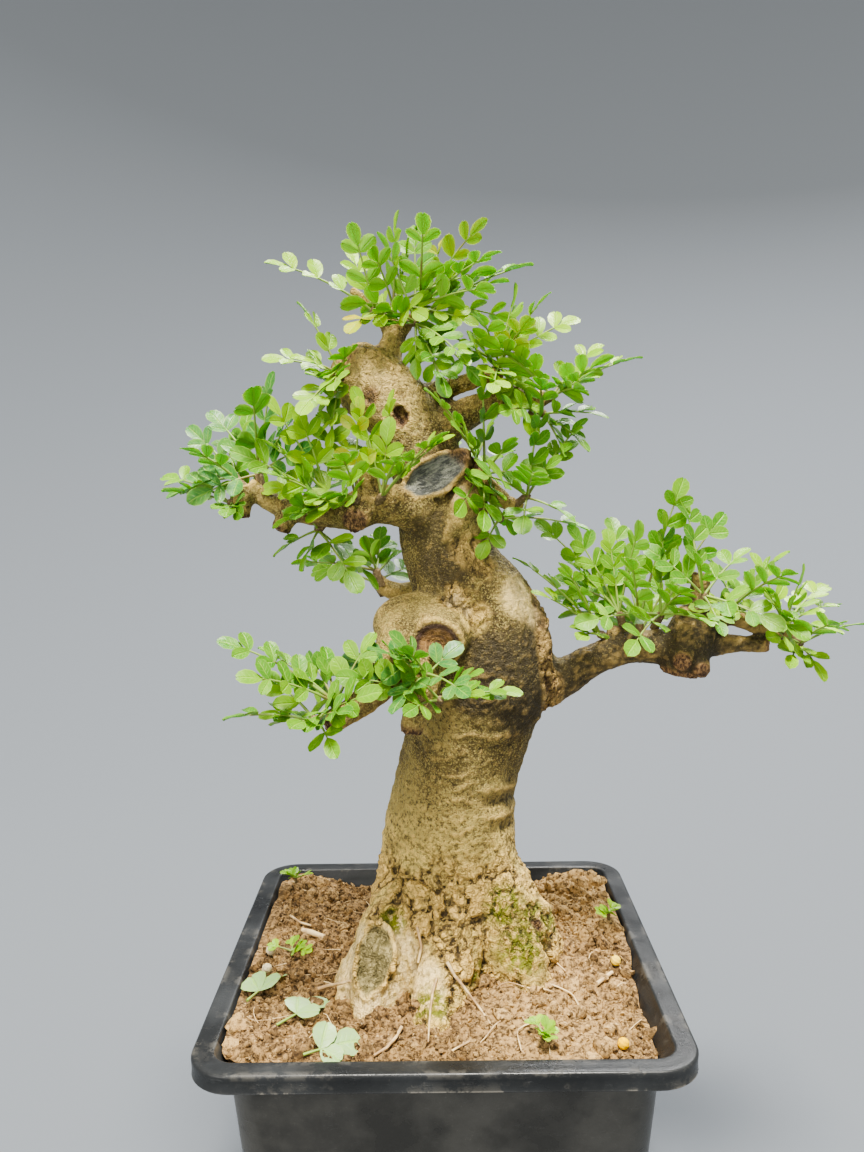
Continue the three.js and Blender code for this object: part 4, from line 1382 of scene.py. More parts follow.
@dataclass
class Wood:
    """Trunk, roots and branches, grown as one piece."""

    voxel: float = 1.08
    trunk_sides: int = 64
    plate_height: float = 1.5
    wrinkle_height: float = 0.55
    lump_height: float = 2.4
    grain_height: float = 1.2
    trunk: Sequence[Station] = (
        (6, 2, 88, 20, 18), (6, 1, 104, 33, 28), (7, 0, 118, 41, 34), (7, 0, 129, 39, 32),
        (6, 0, 143, 34.5, 29), (4, 0, 160, 29, 26), (5, 0, 176, 27.4, 25), (8, 0, 200, 25, 24),
        (13, -2, 222, 26, 25), (17, -4, 240, 28, 26), (18, -4, 254, 27, 26),
        (15, -4, 268, 23.5, 23), (8, -3, 283, 19.5, 19.5), (3, -2, 297, 18, 18),
        (0, 0, 310, 16.5, 16.5), (-5, 1, 326, 15, 15), (-13, 3, 343, 14.5, 14.5), (-25, 6, 357, 15, 14.5),
        (-34, 8, 365, 13, 12.5))
    round_limbs: Sequence[Sequence[Station]] = (
        ((-14, -8, 146, 14), (-26, -20, 131, 11), (-36, -31, 119, 8), (-45, -41, 102, 5)),
        ((-9, -14, 148, 16), (-20, -26, 136, 14.5), (-25, -37, 124, 12), (-30, -46, 109, 8),
         (-34, -52, 94, 5)),
        ((4, -14, 144, 15), (1, -30, 128, 13), (-3, -46, 117, 10), (-6, -60, 111.5, 7.5), (-8, -72, 103, 5)),
        ((20, -12, 142, 15), (30, -22, 124, 12), (38, -32, 109, 8), (46, -42, 95, 5)),
        ((26, 2, 140, 15), (37, 4, 122, 11), (48, 7, 105, 7), (56, 9, 92, 5)),
        ((18, 14, 140, 14), (29, 27, 121, 10), (39, 38, 103, 6)),
        ((-10, 14, 140, 14), (-22, 26, 121, 10), (-34, 38, 103, 6)),
        ((4, 18, 138, 14), (3, 33, 119, 10), (4, 46, 102, 6)),
        ((8, -10, 291, 9), (11, -13, 303, 8), (13, -12, 315, 6.5), (13, -8, 325, 5)),
        ((16, -10, 325, 4.0), (14.5, -14.5, 317, 5.4), (9.5, -17.5, 307, 5.8), (4, -18, 298, 4.2),
         (0, -14, 291, 2.5)))
    cut_limbs: Sequence[Sequence[Station]] = (
        ((8, -4, 254, 21), (0, -17, 259, 17), (-1, -29, 260, 12.5), (-1, -37.5, 258.5, 10.0)),
        ((2, -10, 262, 15), (-13, -20, 263, 12), (-15, -33, 258, 9.5), (-20, -45, 248, 6.6),
         (-29, -53, 240, 4.8), (-41, -59, 233, 3.6)),
        ((-4, -26, 256, 10), (-5, -40, 250, 7), (-7, -48, 243, 5.5), (-11, -50, 228, 4)),
        ((2, -6, 302, 12), (-11, -14, 309, 8.5), (-24, -19, 311, 7.6), (-33, -20, 308, 7.4),
         (-43, -20, 307, 4.8), (-56, -18, 309, 4.4), (-67, -17, 313, 4), (-74, -18, 319, 3.6)),
        ((-28, -18, 311, 7.5), (-31, -25, 306, 5.8), (-32, -29, 304, 4.8)),
        ((-28, -20, 310, 5), (-27, -22, 317, 4), (-26, -24, 326, 3.3)),
        ((-54, -18, 310, 4.5), (-59, -18, 306, 4), (-62, -18, 301, 3.6)),
        ((-74, -18, 319, 4), (-76, -18, 313, 4), (-77, -18, 306, 3.4)),
        ((11, -7, 322, 5), (21, -6, 316, 3.6), (28, -6, 310, 3), (34, -6, 310, 2.4)),
        ((0, 6, 277, 8), (-12, 10, 272, 4.6), (-22, 10, 274, 3.6), (-28, 10, 280, 2.8)),
        ((-3, 2, 338, 10), (13, 5, 347, 6.4), (29, 8, 352, 4.8), (45, 8, 352, 3.6)),
        ((-12, 6, 350, 8), (5, 8, 357, 4.4), (26, 7, 363, 3)),
        ((-22, 7, 360, 9), (-19, 8, 372, 5.6), (-15, 8, 384, 4.4)),
        ((-17, 8, 379, 3.6), (-26, 9, 390, 2.2), (-34, 9, 397, 1.7)),
        ((-16, 8, 378, 3.6), (-9, 8, 386, 2.4)),
        ((22, -3, 246, 18), (42, -2, 238, 13.5), (51, -2, 238, 8.6), (62, -3, 244, 6.8), (76, -6, 250, 6.3),
         (90, -9, 251, 6.8), (99, -10, 252, 8)),
        ((104, -9, 266, 6.5), (102, -10, 258, 9.5), (99, -11, 249, 9.8), (97, -12, 240, 7)),
        ((99, -14, 250, 6), (95, -23, 247, 3.2)),
        ((103, -14, 246, 5.5), (104, -22, 243, 2.8)),
        ((104, -9, 262, 5.5), (105, -9, 271, 4.4), (106, -8, 281, 3.8)),
        ((104, -9, 258, 5), (117, -9, 263, 3.4), (129, -8, 259, 2.9), (143, -8, 255, 2.4)),
        ((104, -9, 252, 6), (119, -8, 252, 3.8), (134, -8, 251, 2.8)),
        ((71, -5, 248, 5), (73, -4, 259, 3.6)),
        ((2, 8, 304, 9), (9, 24, 311, 5.5), (14, 40, 318, 4.2)))
    folds: Sequence[tuple[float, float]] = (
        (193.5, 1.5), (188.0, -0.9), (182.0, 1.4), (176.0, -0.7), (216.0, 0.8), (211.0, -0.8))
    rough_spots: Sequence[Patch] = (
        ("flaky", 1.0, ((6, -23, 273, 6), (15, -22, 267, 6))),
        ("flaky", 0.6, ((12, -20, 294, 7), (17, -20, 287, 6))),
        ("flaky", 0.35, ((-30, -2, 364, 16), (-20, -8, 349, 10))),
        ("raw", 0.9, ((12.5, -16, 329, 5), (8, -18, 331.5, 4), (14.5, -15, 324.5, 4.5), (-36, 0, 369, 5),
                      (-26, -8, 353, 4), (14, -17, 318, 4))))
    colour_spots: Sequence[Patch] = (
        ("cream", 1.0, ((-16, -39, 140, 6), (-13, -40, 135, 7), (-8, -45, 130, 8), (-4, -50, 127, 6),
                        (-2, -55, 124, 5), (-17, -47, 123, 7), (-23, -50, 121, 7), (-29, -50, 122, 7),
                        (-36, -31, 132, 7), (-39, -36, 127, 8), (-40, -39, 122, 8), (-33, -33, 141, 5),
                        (-19, -37, 147, 5), (6, -24, 273, 3.5), (10, -23, 268, 3.5), (2, -21, 316, 3.6),
                        (8, -20, 314, 4), (13, -18, 313, 3.2))),
        ("cream", 0.2, ((-36, 4, 368, 9), (-25, -7, 357, 8), (-20, -10, 348, 6), (-30, -2, 362, 8))),
        # painted highlight on the burl's shoulder, laid as cream
        ("cream", 0.6, ((32, -20, 273, 8), (36, -18, 265, 5))),
        # painted shade: spots where shade falls on the trunk and the right limb
        ("dusk", 1.0, ((36, -18, 250, 17), (22, -28, 249, 12), (32, -20, 231, 14), (14, -27, 236, 9),
                       (44, -12, 262, 12), (44, -13, 240, 10))),
        ("dusk", 0.7, ((2, -20, 287, 12), (8, -20, 277, 6), (-2, -17, 300, 10), (0, -10, 308, 9))),
        # painted light: spots where light falls on the burl and the trunk
        ("lit", 0.9, ((12, -26, 266, 7), (32, -20, 273, 9), (7, -22, 274, 6))),
        ("lit", 0.4, ((-32, 4, 362, 22), (-20, -4, 348, 16), (-14, -22, 232, 12), (-4, -26, 225, 14),
                      (-24, -20, 314, 9))),
        ("moss", 1.0, ((25, -24, 149, 9), (38, -18, 138, 11), (31, -29, 133, 10), (-5, -52, 121, 8),
                       (16, -37, 127, 6), (-20, -33, 147, 6), (44, -6, 132, 6))),
        ("hollow", 1.0, ((37.9, -18, 137.6, 3.0), (13, -14, 327, 2.0), (12, -13, 322, 1.8),
                         (-1.5, -24.5, 233.4, 1.6))))
    wound: Scar = Scar((-0.5, -17.5, 322.0), (-0.10, -1, 0.10), 14.4, 6.9, 0.52, 1.6, 1.45)
    hollow: Scar = Scar((-14, -10, 345), (-0.2, -1, -0.05), 3.6, 4.8, 0.2, 0.5, 1.1)
    root_scar: Scar = Scar((-26.5, -43.5, 137.0), (-0.20, -1, 0.55), 7.6, 14.0, -0.12, 1.6, 0.9)
    burl_collar: Scar = Scar((4, -19, 261), (-0.25, -1, 0.05), 15.0, 15.0, 0.0, 0.0, 1.3)
    limb_collar: Scar = Scar((43.5, -3, 247), (1, 0.05, 0.12), 13.5, 17.5, 0.0, 0.0, 1.7)
    ends: Sequence[CutEnd] = (
        CutEnd((-1, -37.4, 258.2), (0.12, -1, -0.10), 8.3),
        CutEnd((-41, -59, 233), (-0.8, -0.4, -0.46), 3.6, True),
        CutEnd((-11, -50, 228), (-0.25, -0.12, -0.95), 4.2, True),
        CutEnd((-32, -29, 304), (-0.2, -0.85, -0.4), 4.6, True),
        CutEnd((-26, -24, 326), (0.1, -0.2, 0.97), 3.3), CutEnd((-62, -18, 301), (-0.5, 0, -0.85), 3.6, True),
        CutEnd((-77, -18, 306), (-0.14, 0, -0.99), 3.4, True),
        CutEnd((97, -12, 240), (-0.2, -0.1, -0.97), 7.2, True),
        CutEnd((95, -23, 247), (-0.4, -0.85, -0.3), 3.4, True),
        CutEnd((104, -22, 243), (0.1, -0.92, -0.35), 3.0, True),
        CutEnd((106, -8, 281), (0.1, 0.1, 0.98), 3.8), CutEnd((134, -8, 251), (1, 0, 0), 3.0, True),
        CutEnd((73, -4, 259), (0.18, 0, 0.98), 3.6), CutEnd((14, 40, 318), (0.28, 0.88, 0.37), 4.2))

    @staticmethod
    def tube(stations: Sequence[Station], sides: int, steps: int, cut: bool) -> tuple[np.ndarray, list]:
        """A smooth closed tube through its stations.

        Args:
            stations: Middle and radius, or middle, half width and half depth, of each station.
            sides: Points round the tube.
            steps: Rings for each stretch between stations.
            cut: Whether the tube ends flat, or round.

        Returns:
            Points and faces.
        """
        known = np.array([(*s[:3], s[3], s[-1]) for s in stations], float)
        known = np.vstack([2 * known[0] - known[1], known, 2 * known[-1] - known[-2]])
        samples = []
        for i in range(1, len(known) - 2):
            p0, p1, p2, p3 = known[i - 1:i + 3]
            d0, d1, d2 = (math.sqrt(np.linalg.norm((b - a)[:3])) for a, b in ((p0, p1), (p1, p2), (p2, p3)))
            m1 = ((p1 - p0) / d0 - (p2 - p0) / (d0 + d1) + (p2 - p1) / d1) * d1
            m2 = ((p2 - p1) / d1 - (p3 - p1) / (d1 + d2) + (p3 - p2) / d2) * d1
            last = i == len(known) - 3
            for step in range(steps + int(last)):
                t = step / steps
                samples.append(p1 + m1 * t + (3 * (p2 - p1) - 2 * m1 - m2) * t ** 2
                               + (2 * (p1 - p2) + m1 + m2) * t ** 3)
        path = np.array(samples)
        along = np.gradient(path[:, :3], axis=0)
        side = np.array([1.0, 0.0, 0.0]) if abs(unit(along[0])[0]) < 0.9 else np.array([0.0, 1.0, 0.0])
        rings = []
        angles = turn_of(sides)
        for i, (place, forward) in enumerate(zip(path, along)):
            forward = unit(forward)
            side = unit(side - forward * (side @ forward))
            front = np.cross(forward, side)
            swell = 1 + 0.05 * np.sin(3 * angles + i / steps * 0.9)
            wide, deep = max(place[3], 0.6), max(place[4], 0.6)
            ring = (place[:3] + np.outer(wide * swell * np.cos(angles), side)
                    + np.outer(deep * swell * np.sin(angles), front))
            rings.append(ring)
            if i == len(path) - 1 and not cut:
                for share in (0.35, 0.7, 0.95):
                    narrow = math.sqrt(1 - share ** 2)
                    rings.append(place[:3] + (ring - place[:3]) * narrow + forward * wide * 0.6 * share)
        return loft(rings)

    def rough_body(self) -> Object:
        """All limbs joined into one skin of even cells.

        Returns:
            The wood before carving.
        """
        shapes = [self.tube(self.trunk, self.trunk_sides, 8, False)]
        shapes += [self.tube(limb, self.trunk_sides // 2, 6, False) for limb in self.round_limbs]
        shapes += [self.tube(limb, 28, 6, True) for limb in self.cut_limbs]
        for scar in (self.wound, self.hollow, self.root_scar, self.burl_collar, self.limb_collar):
            shapes.append(scar.callus())
            if scar.depth:
                shapes.append(loft([scar.ring(1.0, -10.0), scar.ring(1.0, 0.2)]))
        points, faces, first = [], [], 0
        for more, skin in shapes:
            points.append(more)
            faces += [[i + first for i in face] for face in skin]
            first += len(more)
        made = mesh_object("ash_wood", np.concatenate(points), faces)
        cells = made.modifiers.new("cells", "REMESH")
        cells.mode, cells.voxel_size, cells.use_smooth_shade = "VOXEL", self.voxel * MM, True
        return baked(made)

    @staticmethod
    def softened(mesh: Mesh, shares: Sequence[float]) -> np.ndarray:
        """The mesh's points, each moved towards the middle of its neighbours.

        Args:
            mesh: Mesh to read.
            shares: Share of the way that each round goes; below 0 it goes away from the middle.

        Returns:
            The moved points.
        """
        points = points_of(mesh)
        pairs = np.empty(len(mesh.edges) * 2, np.int32)
        mesh.edges.foreach_get("vertices", pairs)
        a, b = pairs.reshape(-1, 2).T
        count = np.bincount(a, minlength=len(points)) + np.bincount(b, minlength=len(points))
        for share in shares:
            total = np.column_stack([
                np.bincount(a, points[b, k], len(points)) + np.bincount(b, points[a, k], len(points))
                for k in range(3)])
            points += share * (total / count[:, None] - points)
        return points

    def note_dips(self, mesh: Mesh) -> None:
        """Writes how deep each point lies below its surroundings, in millimetres, for painted shade in
        hollows and painted highlight on ridges.
        """
        away = self.softened(mesh, (0.6,) * 10) - points_of(mesh)
        write_attribute(mesh, "dip", "FLOAT", np.einsum("ij,ij->i", away, normals_of(mesh)))

    def carve(self, mesh: Mesh) -> dict[str, np.ndarray]:
        """Carves wounds, lips and ends, and marks the zones of the surface, painted light and shade among
        them.

        Args:
            mesh: Mesh to change.

        Returns:
            The marks, by attribute name.
        """
        points, normals = points_of(mesh), normals_of(mesh)
        marks = {name: np.zeros(len(points)) for name in (
            "slate", "hollow", "scar", "raw", "sawn", "ring", "cream", "moss", "flaky", "wrinkled", "dusk",
            "lit")}
        for scar, name in ((self.wound, "slate"), (self.hollow, "hollow"), (self.root_scar, "scar")):
            share, angle, height = scar.local(points)
            share = share / scar.waves(angle)
            facing = unit(np.array(scar.facing))
            front = smooth(-9, -5, height) * (normals @ facing > -0.3)
            inside = smooth(0.90, 0.70, share) * front
            points += np.outer(inside * (-scar.depth * (1 - 0.4 * share) - height), facing)
            marks[name] = smooth(0.95, 0.82, share) * front
        for end in self.ends:
            facing = unit(np.array(end.facing))
            away = points - np.array(end.at)
            height = away @ facing
            radial = np.linalg.norm(away - np.outer(height, facing), axis=1) / end.radius
            name, wide, near, low, high, reach = (
                ("raw", 1.35, 1.0, -3.2, -1.2, 6) if end.raw else ("sawn", 1.12, 0.98, -1.6, -0.5, 5))
            mark = smooth(wide, near, radial) * smooth(low, high, height) * (np.abs(height) < reach)
            marks[name] = np.maximum(marks[name], mark)
            marks["ring"] = np.where(mark > 0, radial, marks["ring"])
        x, y, z = points.T
        share, _, height = self.limb_collar.local(points)
        collar = smooth(0.6, 0.8, share) * smooth(6, 3, np.abs(height))
        marks["flaky"] = np.maximum(smooth(176, 158, z), collar)
        marks["raw"] = np.maximum(marks["raw"], 0.55 * collar)
        self.add_spots(marks, points, self.rough_spots)
        marks["wrinkled"] = smooth(150, 175, z) * smooth(262, 236, z) * (np.hypot(x - 8, y) < 34)
        right = smooth(10, 24, x) * smooth(34, 28, x) * smooth(14, 0, y)
        for level, rise in self.folds:
            points += normals * (rise * np.exp(-((z - level + 0.12 * y) / 2.0) ** 2) * right)[:, None]
        # painted shade along the right branch; painted light brighter towards the foot of the trunk, less on
        # its right side low down
        marks["dusk"] = smooth(46, 53, x)
        marks["lit"] = smooth(216, 156, z) * (1 - 0.65 * smooth(20, 32, x) * smooth(160, 145, z))
        self.add_spots(marks, points, self.colour_spots)
        marks["flaky"] *= 1 - 0.8 * marks["cream"] * (z < 200)
        set_points(mesh, points)
        return marks

    def add_spots(self, marks: dict[str, np.ndarray], points: np.ndarray, patches: Sequence[Patch]) -> None:
        """Adds round spots to the marks of the same name.

        Args:
            marks: The marks at the points, by name.
            points: Points in millimetres.
            patches: Name, share of full strength and spots of each.
        """
        for name, share, places in patches:
            marks[name] = np.maximum(marks[name], share * self.spots(points, places))

    @staticmethod
    def spots(points: np.ndarray, places: Sequence[Spot]) -> np.ndarray:
        """Soft round marks.

        Args:
            points: Points in millimetres.
            places: Middle and radius of each mark.

        Returns:
            The strongest mark at each point, from 0 to 1.
        """
        marks = np.zeros(len(points))
        for *middle, radius in places:
            away = np.linalg.norm(points - np.array(middle), axis=1)
            marks = np.maximum(marks, smooth(radius * 1.35, radius * 0.6, away))
        return marks

    @staticmethod
    def relief() -> NodeTree:
        """A tree that raises plates, wrinkles and lumps of bark.

        Returns:
            The tree of nodes.
        """
        recipe = Recipe("bark relief", Plates="Float", Wrinkles="Float", Lumps="Float", Grain="Float",
                        Bark="Material")
        graph, place, given, named = recipe.graph, recipe.place(), recipe.given, recipe.named
        bare = graph.math("MAXIMUM", named("slate"), named("sawn"))
        bare = 1.0 - graph.math("MAXIMUM", bare, named("scar"))
        seams, _, lift, chips, shown = graph.plates(place)
        flaky, wrinkled = named("flaky") * shown, named("wrinkled")
        plate = lift * 1.3 - 0.7 + chips * 0.5 - seams.step(0.16, 0.0, 0.0, 0.45)
        plate = plate * (flaky * given("Plates"))
        wavy = graph.vector("ADD", place, graph.wander(place, 0.08, 2.0, 14.0))
        folds = graph.noise(graph.scaled(wavy, (0.07, 0.07, 0.30)), 1.0, 4.0).step(0.38, 0.66) - 0.5
        folds = folds * (wrinkled * given("Wrinkles"))
        knobs = graph.noise(graph.scaled(place, (1.0, 1.0, 0.6)), 0.12, 3.0) - 0.5
        lumps = (graph.noise(place, 0.05, 3.0) - 0.5 + knobs * named("flaky") * 2.2) * given("Lumps")
        rough = graph.math("MAXIMUM", flaky, named("raw")) * 1.6
        grain = (graph.noise(place, 0.42, 4.0, 0.62) - 0.5) * (rough + 1.0) * given("Grain")
        total = (plate + folds + (lumps + grain)) * bare * MM
        offset = graph.scaled(graph.add("GeometryNodeInputNormal"), total)
        # the valleys of the folds are marked darker: cracks, with painted shade in the creases
        crack = folds.step(-0.02, -0.5, 0.0, 0.22) * wrinkled
        marked = recipe.store(given("Geometry"), "crack", crack)
        marked = recipe.store(marked, "rest", place, "FLOAT_VECTOR")
        return recipe.close(recipe.skinned(recipe.moved(marked, offset), given("Bark")))

    def build(self, finish: Finish) -> None:
        """Builds the wood, which stands for its solid.

        Args:
            finish: The bark.
        """
        made = self.rough_body()
        set_points(made.data, self.softened(made.data, (0.5, -0.52) * 6))
        for name, values in self.carve(made.data).items():
            write_attribute(made.data, name, "FLOAT", values)
        Recipe.apply(made, self.relief(), Plates=self.plate_height, Wrinkles=self.wrinkle_height,
                     Lumps=self.lump_height, Grain=self.grain_height, Bark=finish.material())
        self.note_dips(made.data)
        shade(made)
        hand_over(made, "bark", ["tree"])


class Age(Enum):
    """How old a spray's leaves are: share of young green, of blue bloom and of copper."""

    GROWN = (0.18, 0.10, 0.0)
    FRESH = (0.62, 0.0, 0.0)
    BLUE = (0.15, 0.80, 0.0)
    COPPER = (0.80, 0.0, 0.55)
    FADED = (0.5, 2.0, 0.0)


@dataclass(frozen=True)
class Leaf:
    """One pinnate leaf from its root to its tip."""

    root: np.ndarray
    tip: np.ndarray
    turn: float
    seed: tuple[int, int]
    age: Age = Age.GROWN
    arch: float = 0.13
    leaflet: float = 9.0
    broad: float = 1.0


@dataclass
class Foliage:
    """Leafy sprays: leaflets placed along arched stalks that grow from short spurs."""

    leaflet_angle: float = math.radians(55)
    first_pair: float = 0.30
    pitch: float = 9.6
    end_leaflet: float = 9.45
    end_stalk: float = 2.2
    fold: float = 0.29
    spur_back: float = 7.0
    stalk_radius: float = 0.52
    stalk_sides: int = 6
    kinds: int = 5
    coppery: Sequence[Point] = ((20, 4, 422), (5, 24, 421), (37, -16, 381), (-34, -12, 377), (-29, -34, 349))
    sprays: Sequence[tuple[str, Point, Age, Sequence[Point], Sequence[Point]]] = (
        ("apex_left", (-25, 4, 388), Age.FRESH, ((-66, -4, 406), (-32, -8, 418), (-34, -12, 377)),
         ((-35, 13, 414), (-21, -12, 380))),
        ("apex_top", (-17, 5, 390), Age.FRESH, ((-15, 0, 424), (-24, -20, 407), (-6, 22, 425.3)),
         ((18, 0, 381), (10, 9, 384), (-36, -2, 389), (23, 5, 403), (-4, -13, 382), (-31, 29, 388))),
        ("apex_right", (-6, 9, 390), Age.FRESH, ((20, 4, 422), (25, -8, 408), (5, 24, 421)),
         ((22, -19, 392), (34, 18, 385), (31, 21, 402), (-4, -18, 419))),
        ("apex_low_right", (-8, 4, 383), Age.GROWN, ((39, 8, 406), (13, -22, 363)),
         ((-8, 15, 422), (4, -2, 353), (-23, -15, 386), (18, -12, 357), (-21, -2, 416), (-8, -3, 359),
          (5, -19, 351), (-20, -9, 380))),
        ("upper_right_top", (26, 6, 366), Age.FRESH, ((45, 2, 393), (37, -16, 381), (59, 14, 385)),
         ((39, -8, 337), (21, -32, 352), (-6, 8, 383), (34, -2, 348), (33, 5, 396), (17, -22, 382),
          (10, -22, 369), (23, -15, 356))),
        ("upper_right_end", (48, 8, 353), Age.FRESH, ((83, 4, 368), (63, -12, 359), (70, 22, 375)),
         ((19, -11, 374), (57, -19, 354), (69, -4, 367), (27, -7, 370))),
        ("upper_right_low", (44, 6, 346), Age.GROWN, ((70, 2, 344), (40, -18, 358), (61, -8, 330)),
         ((55, -8, 344), (51, -11, 328), (24, -28, 345))),
        ("wound_right", (36, -8, 313), Age.GROWN, ((41, -16, 349), (56, 0, 334), (54, -18, 303)),
         ((14, -39, 322), (60, 0, 343), (32, -29, 300), (35, -44, 322))),
        ("wound_under", (25, -10, 304), Age.GROWN, ((61, -10, 299), (12, -28, 320), (16, -24, 289)),
         ((18, -22, 324),)),
        ("wound_arch", (19, -10, 322), Age.GROWN, ((-3, -32, 353), (30, -24, 335)),
         ((44, -10, 321), (17, -39, 302), (18, -20, 360), (7, -39, 307), (2, -19, 349), (7, -35, 340))),
        ("shoulder_left", (-38, -4, 362), Age.FRESH, ((-53, -6, 389), (-68, -8, 368), (-34, -24, 370)),
         ((-50, -23, 348), (-50, -37, 345), (-37, -45, 353), (-54, -18, 367), (-41, -26, 332),
          (-41, -26, 359))),
        ("left_blue", (-70, -16, 323), Age.BLUE, ((-63, -20, 360), (-90, -6, 347)),
         ((-94, -28, 313), (-48, -28, 333), (-66, -45, 353), (-53, -24, 346))),
        ("left_mid", (-79, -18, 322), Age.BLUE, ((-98, -10, 341), (-94, -36, 333), (-88, 8, 337)),
         ((-105, -17, 315),)),
        ("left_low", (-81, -18, 312), Age.GROWN, ((-106, -22, 317), (-111.4, -2, 322), (-79, -36, 307)),
         ((-76, -1, 347), (-74, -35, 307))),
        ("front_upper_left", (-43, -24, 316), Age.FRESH, ((-52, -32, 346), (-66, -34, 336), (-40, -12, 351)),
         ((-63, -31, 351), (-34, 7, 337))),
        ("front_left", (-40, -27, 311), Age.GROWN, ((-64, -44, 324), (-45, -54, 313), (-62, -36, 303)),
         ((-74, -39, 331), (-29, -40, 322))),
        ("front_copper", (-31, -28, 314), Age.FRESH, ((-29, -34, 349), (-34, -56, 330)),
         ((-67, -20, 317), (-48, -35, 306), (-31, -52, 313))),
        ("front_right", (-21, -28, 314), Age.FRESH, ((5, -40, 336), (-13, -58, 329)),
         ((-30, -32, 353), (-18, -31, 341), (-17, -19, 354), (3, -48, 337))),
        ("hanging", (-47, -18, 301), Age.GROWN, ((-64, -24, 291), (-52, -34, 286)),
         ((-30, -41, 280), (-24, -19, 278), (-53, -38, 314))),
        ("low_back_left", (-26, 7, 282), Age.GROWN, ((-47, 4, 291), (-31, -2, 296), (-15, 18, 289)),
         ((-56, 32, 279), (-61, 1, 286), (-24, 47, 293))),
        ("low_back", (-27, 14, 276), Age.GROWN, ((-47, 22, 280), (-25, 28, 298)),
         ((-8, 36, 281),)),
        ("right_inner", (66, -5, 256), Age.FRESH, ((38, -16, 275), (32, -2, 287), (54, -28, 258)),
         ((48, -24, 287),)),
        ("right_inner_up", (74, -4, 264), Age.GROWN, ((80, -14, 301), (42, 8, 301)),
         ((55, 3, 299), (70, 2, 298), (50, -2, 263), (53, -5, 286))),
        ("right_tall", (82, -5, 261), Age.GROWN, ((99, -4, 317), (73, -32, 289), (74, 18, 301)),
         ((48, 8, 271), (50, 3, 278), (75, 20, 253), (78, 30, 254))),
        ("right_mid", (90, -7, 264), Age.GROWN, ((90, -12, 304), (118, 4, 303), (95, -34, 278)),
         ((55, -22, 263), (71, -41, 255), (100, -47, 266))),
        ("right_knob", (105, -16, 273), Age.GROWN, ((98, -32, 291), (125, -6, 290)),
         ((129, -36, 263), (84, -12, 291), (100, -3, 311), (123, -10, 263), (107, -39, 260))),
        ("right_far_up", (120, -8, 268), Age.GROWN, ((138, -14, 289), (116, 18, 284), (134, 16, 273)),
         ((131, -44, 285), (143, -26, 257), (132, 9, 257))),
        ("right_end_up", (140, -10, 260), Age.FRESH, ((145, -16, 283), (167, 4, 266), (125, -32, 274)),
         ((100, -16, 268), (165, 14, 273), (130, 2, 287), (158, -22, 258))),
        ("right_end", (146, -10, 252), Age.FRESH, ((170, -12, 260), (153, -20, 238), (135, -30, 246)),
         ((147, -45, 266), (127, -30, 258))),
        ("low_left_long", (-38, -58, 242), Age.GROWN, ((-77, -62, 265), (-68, -76, 255), (-24, -50, 264)),
         ((-50, -40, 256), (-49, -27, 231), (-46, -77, 236), (-64, -55, 261), (-42, -44, 258))),
        ("low_left", (-45, -61, 236), Age.GROWN,
         ((-76, -66, 238), (-64, -50, 250), (-50, -80, 238), (-36, -76, 226)),
         ((-22, -72, 248), (-65, -60, 237), (-30, -77, 243), (-61, -50, 232))),
        ("low_front", (-5, -50, 250), Age.BLUE, ((-24, -66, 262), (-17, -54, 265), (8, -44, 259)),
         ((-34, -52, 255), (10, -76, 247), (-13, -66, 263), (-17, -68, 240))),
        ("low_front_right", (0, -50, 240), Age.GROWN, ((30, -50, 242), (14, -64, 253), (-12, -72, 240)),
         ((-36, -60, 251), (-16, -58, 256), (25, -46, 240))),
        ("right_back", (84, 4, 254), Age.GROWN, ((72, 34, 270), (100, 34, 266)),
         ((101, 11, 279),)),
        ("left_back", (-48, -12, 312), Age.GROWN, ((-60, 18, 326), (-38, 22, 320)),
         ((-88, -4, 318),)),
        ("back_high", (15, 44, 321), Age.GROWN, ((36, 62, 332), (2, 66, 338), (16, 60, 306)),
         ((37, 49, 292), (27, 55, 347), (29, 52, 291))))

    def leaflet_kind(self, kind: int) -> Object:
        """One leaflet of length 1 along X, closed, with a fold, a curl and a notched tip.

        Args:
            kind: Number of the kind, which varies its outline.

        Returns:
            The leaflet, with its own length, width and side as an attribute.
        """
        stations = ((0.0, 0.035), (0.15, 0.16), (0.38, 0.275), (0.64, 0.31), (0.87, 0.235), (1.0, 0.07))
        wide = 0.88 + 0.26 * draw(kind, 1, 2)
        curl = 0.10 + 0.22 * draw(kind, 2, 2)
        cup = 0.10 + 0.30 * draw(kind, 3, 2)
        across = (-1.0, -0.5, 0.0, 0.5, 1.0)
        notch, thickness = 0.05, 0.03
        points, own = [], []
        for layer in (0, 1):
            for u, half in stations:
                for v in across:
                    if layer and abs(v) == 1.0:
                        continue
                    x = u - notch * (v == 0.0) * (u == 1.0)
                    y = v * half * wide
                    z = cup * abs(y) - curl * u * u * 0.5 + 0.02 * math.sin(9 * u + 3 * v + kind)
                    z -= thickness * layer * (1 - abs(v))
                    points.append((x, y, z))
                    own.append((u, v))
        row, rows = len(across), len(stations)

        def top(r: int, c: int) -> int:
            """Number of a point of the upper face."""
            return r * row + c

        def below(r: int, c: int) -> int:
            """Number of a point of the lower face, which shares the margin."""
            return top(r, c) if c in (0, row - 1) else rows * row + r * (row - 2) + c - 1

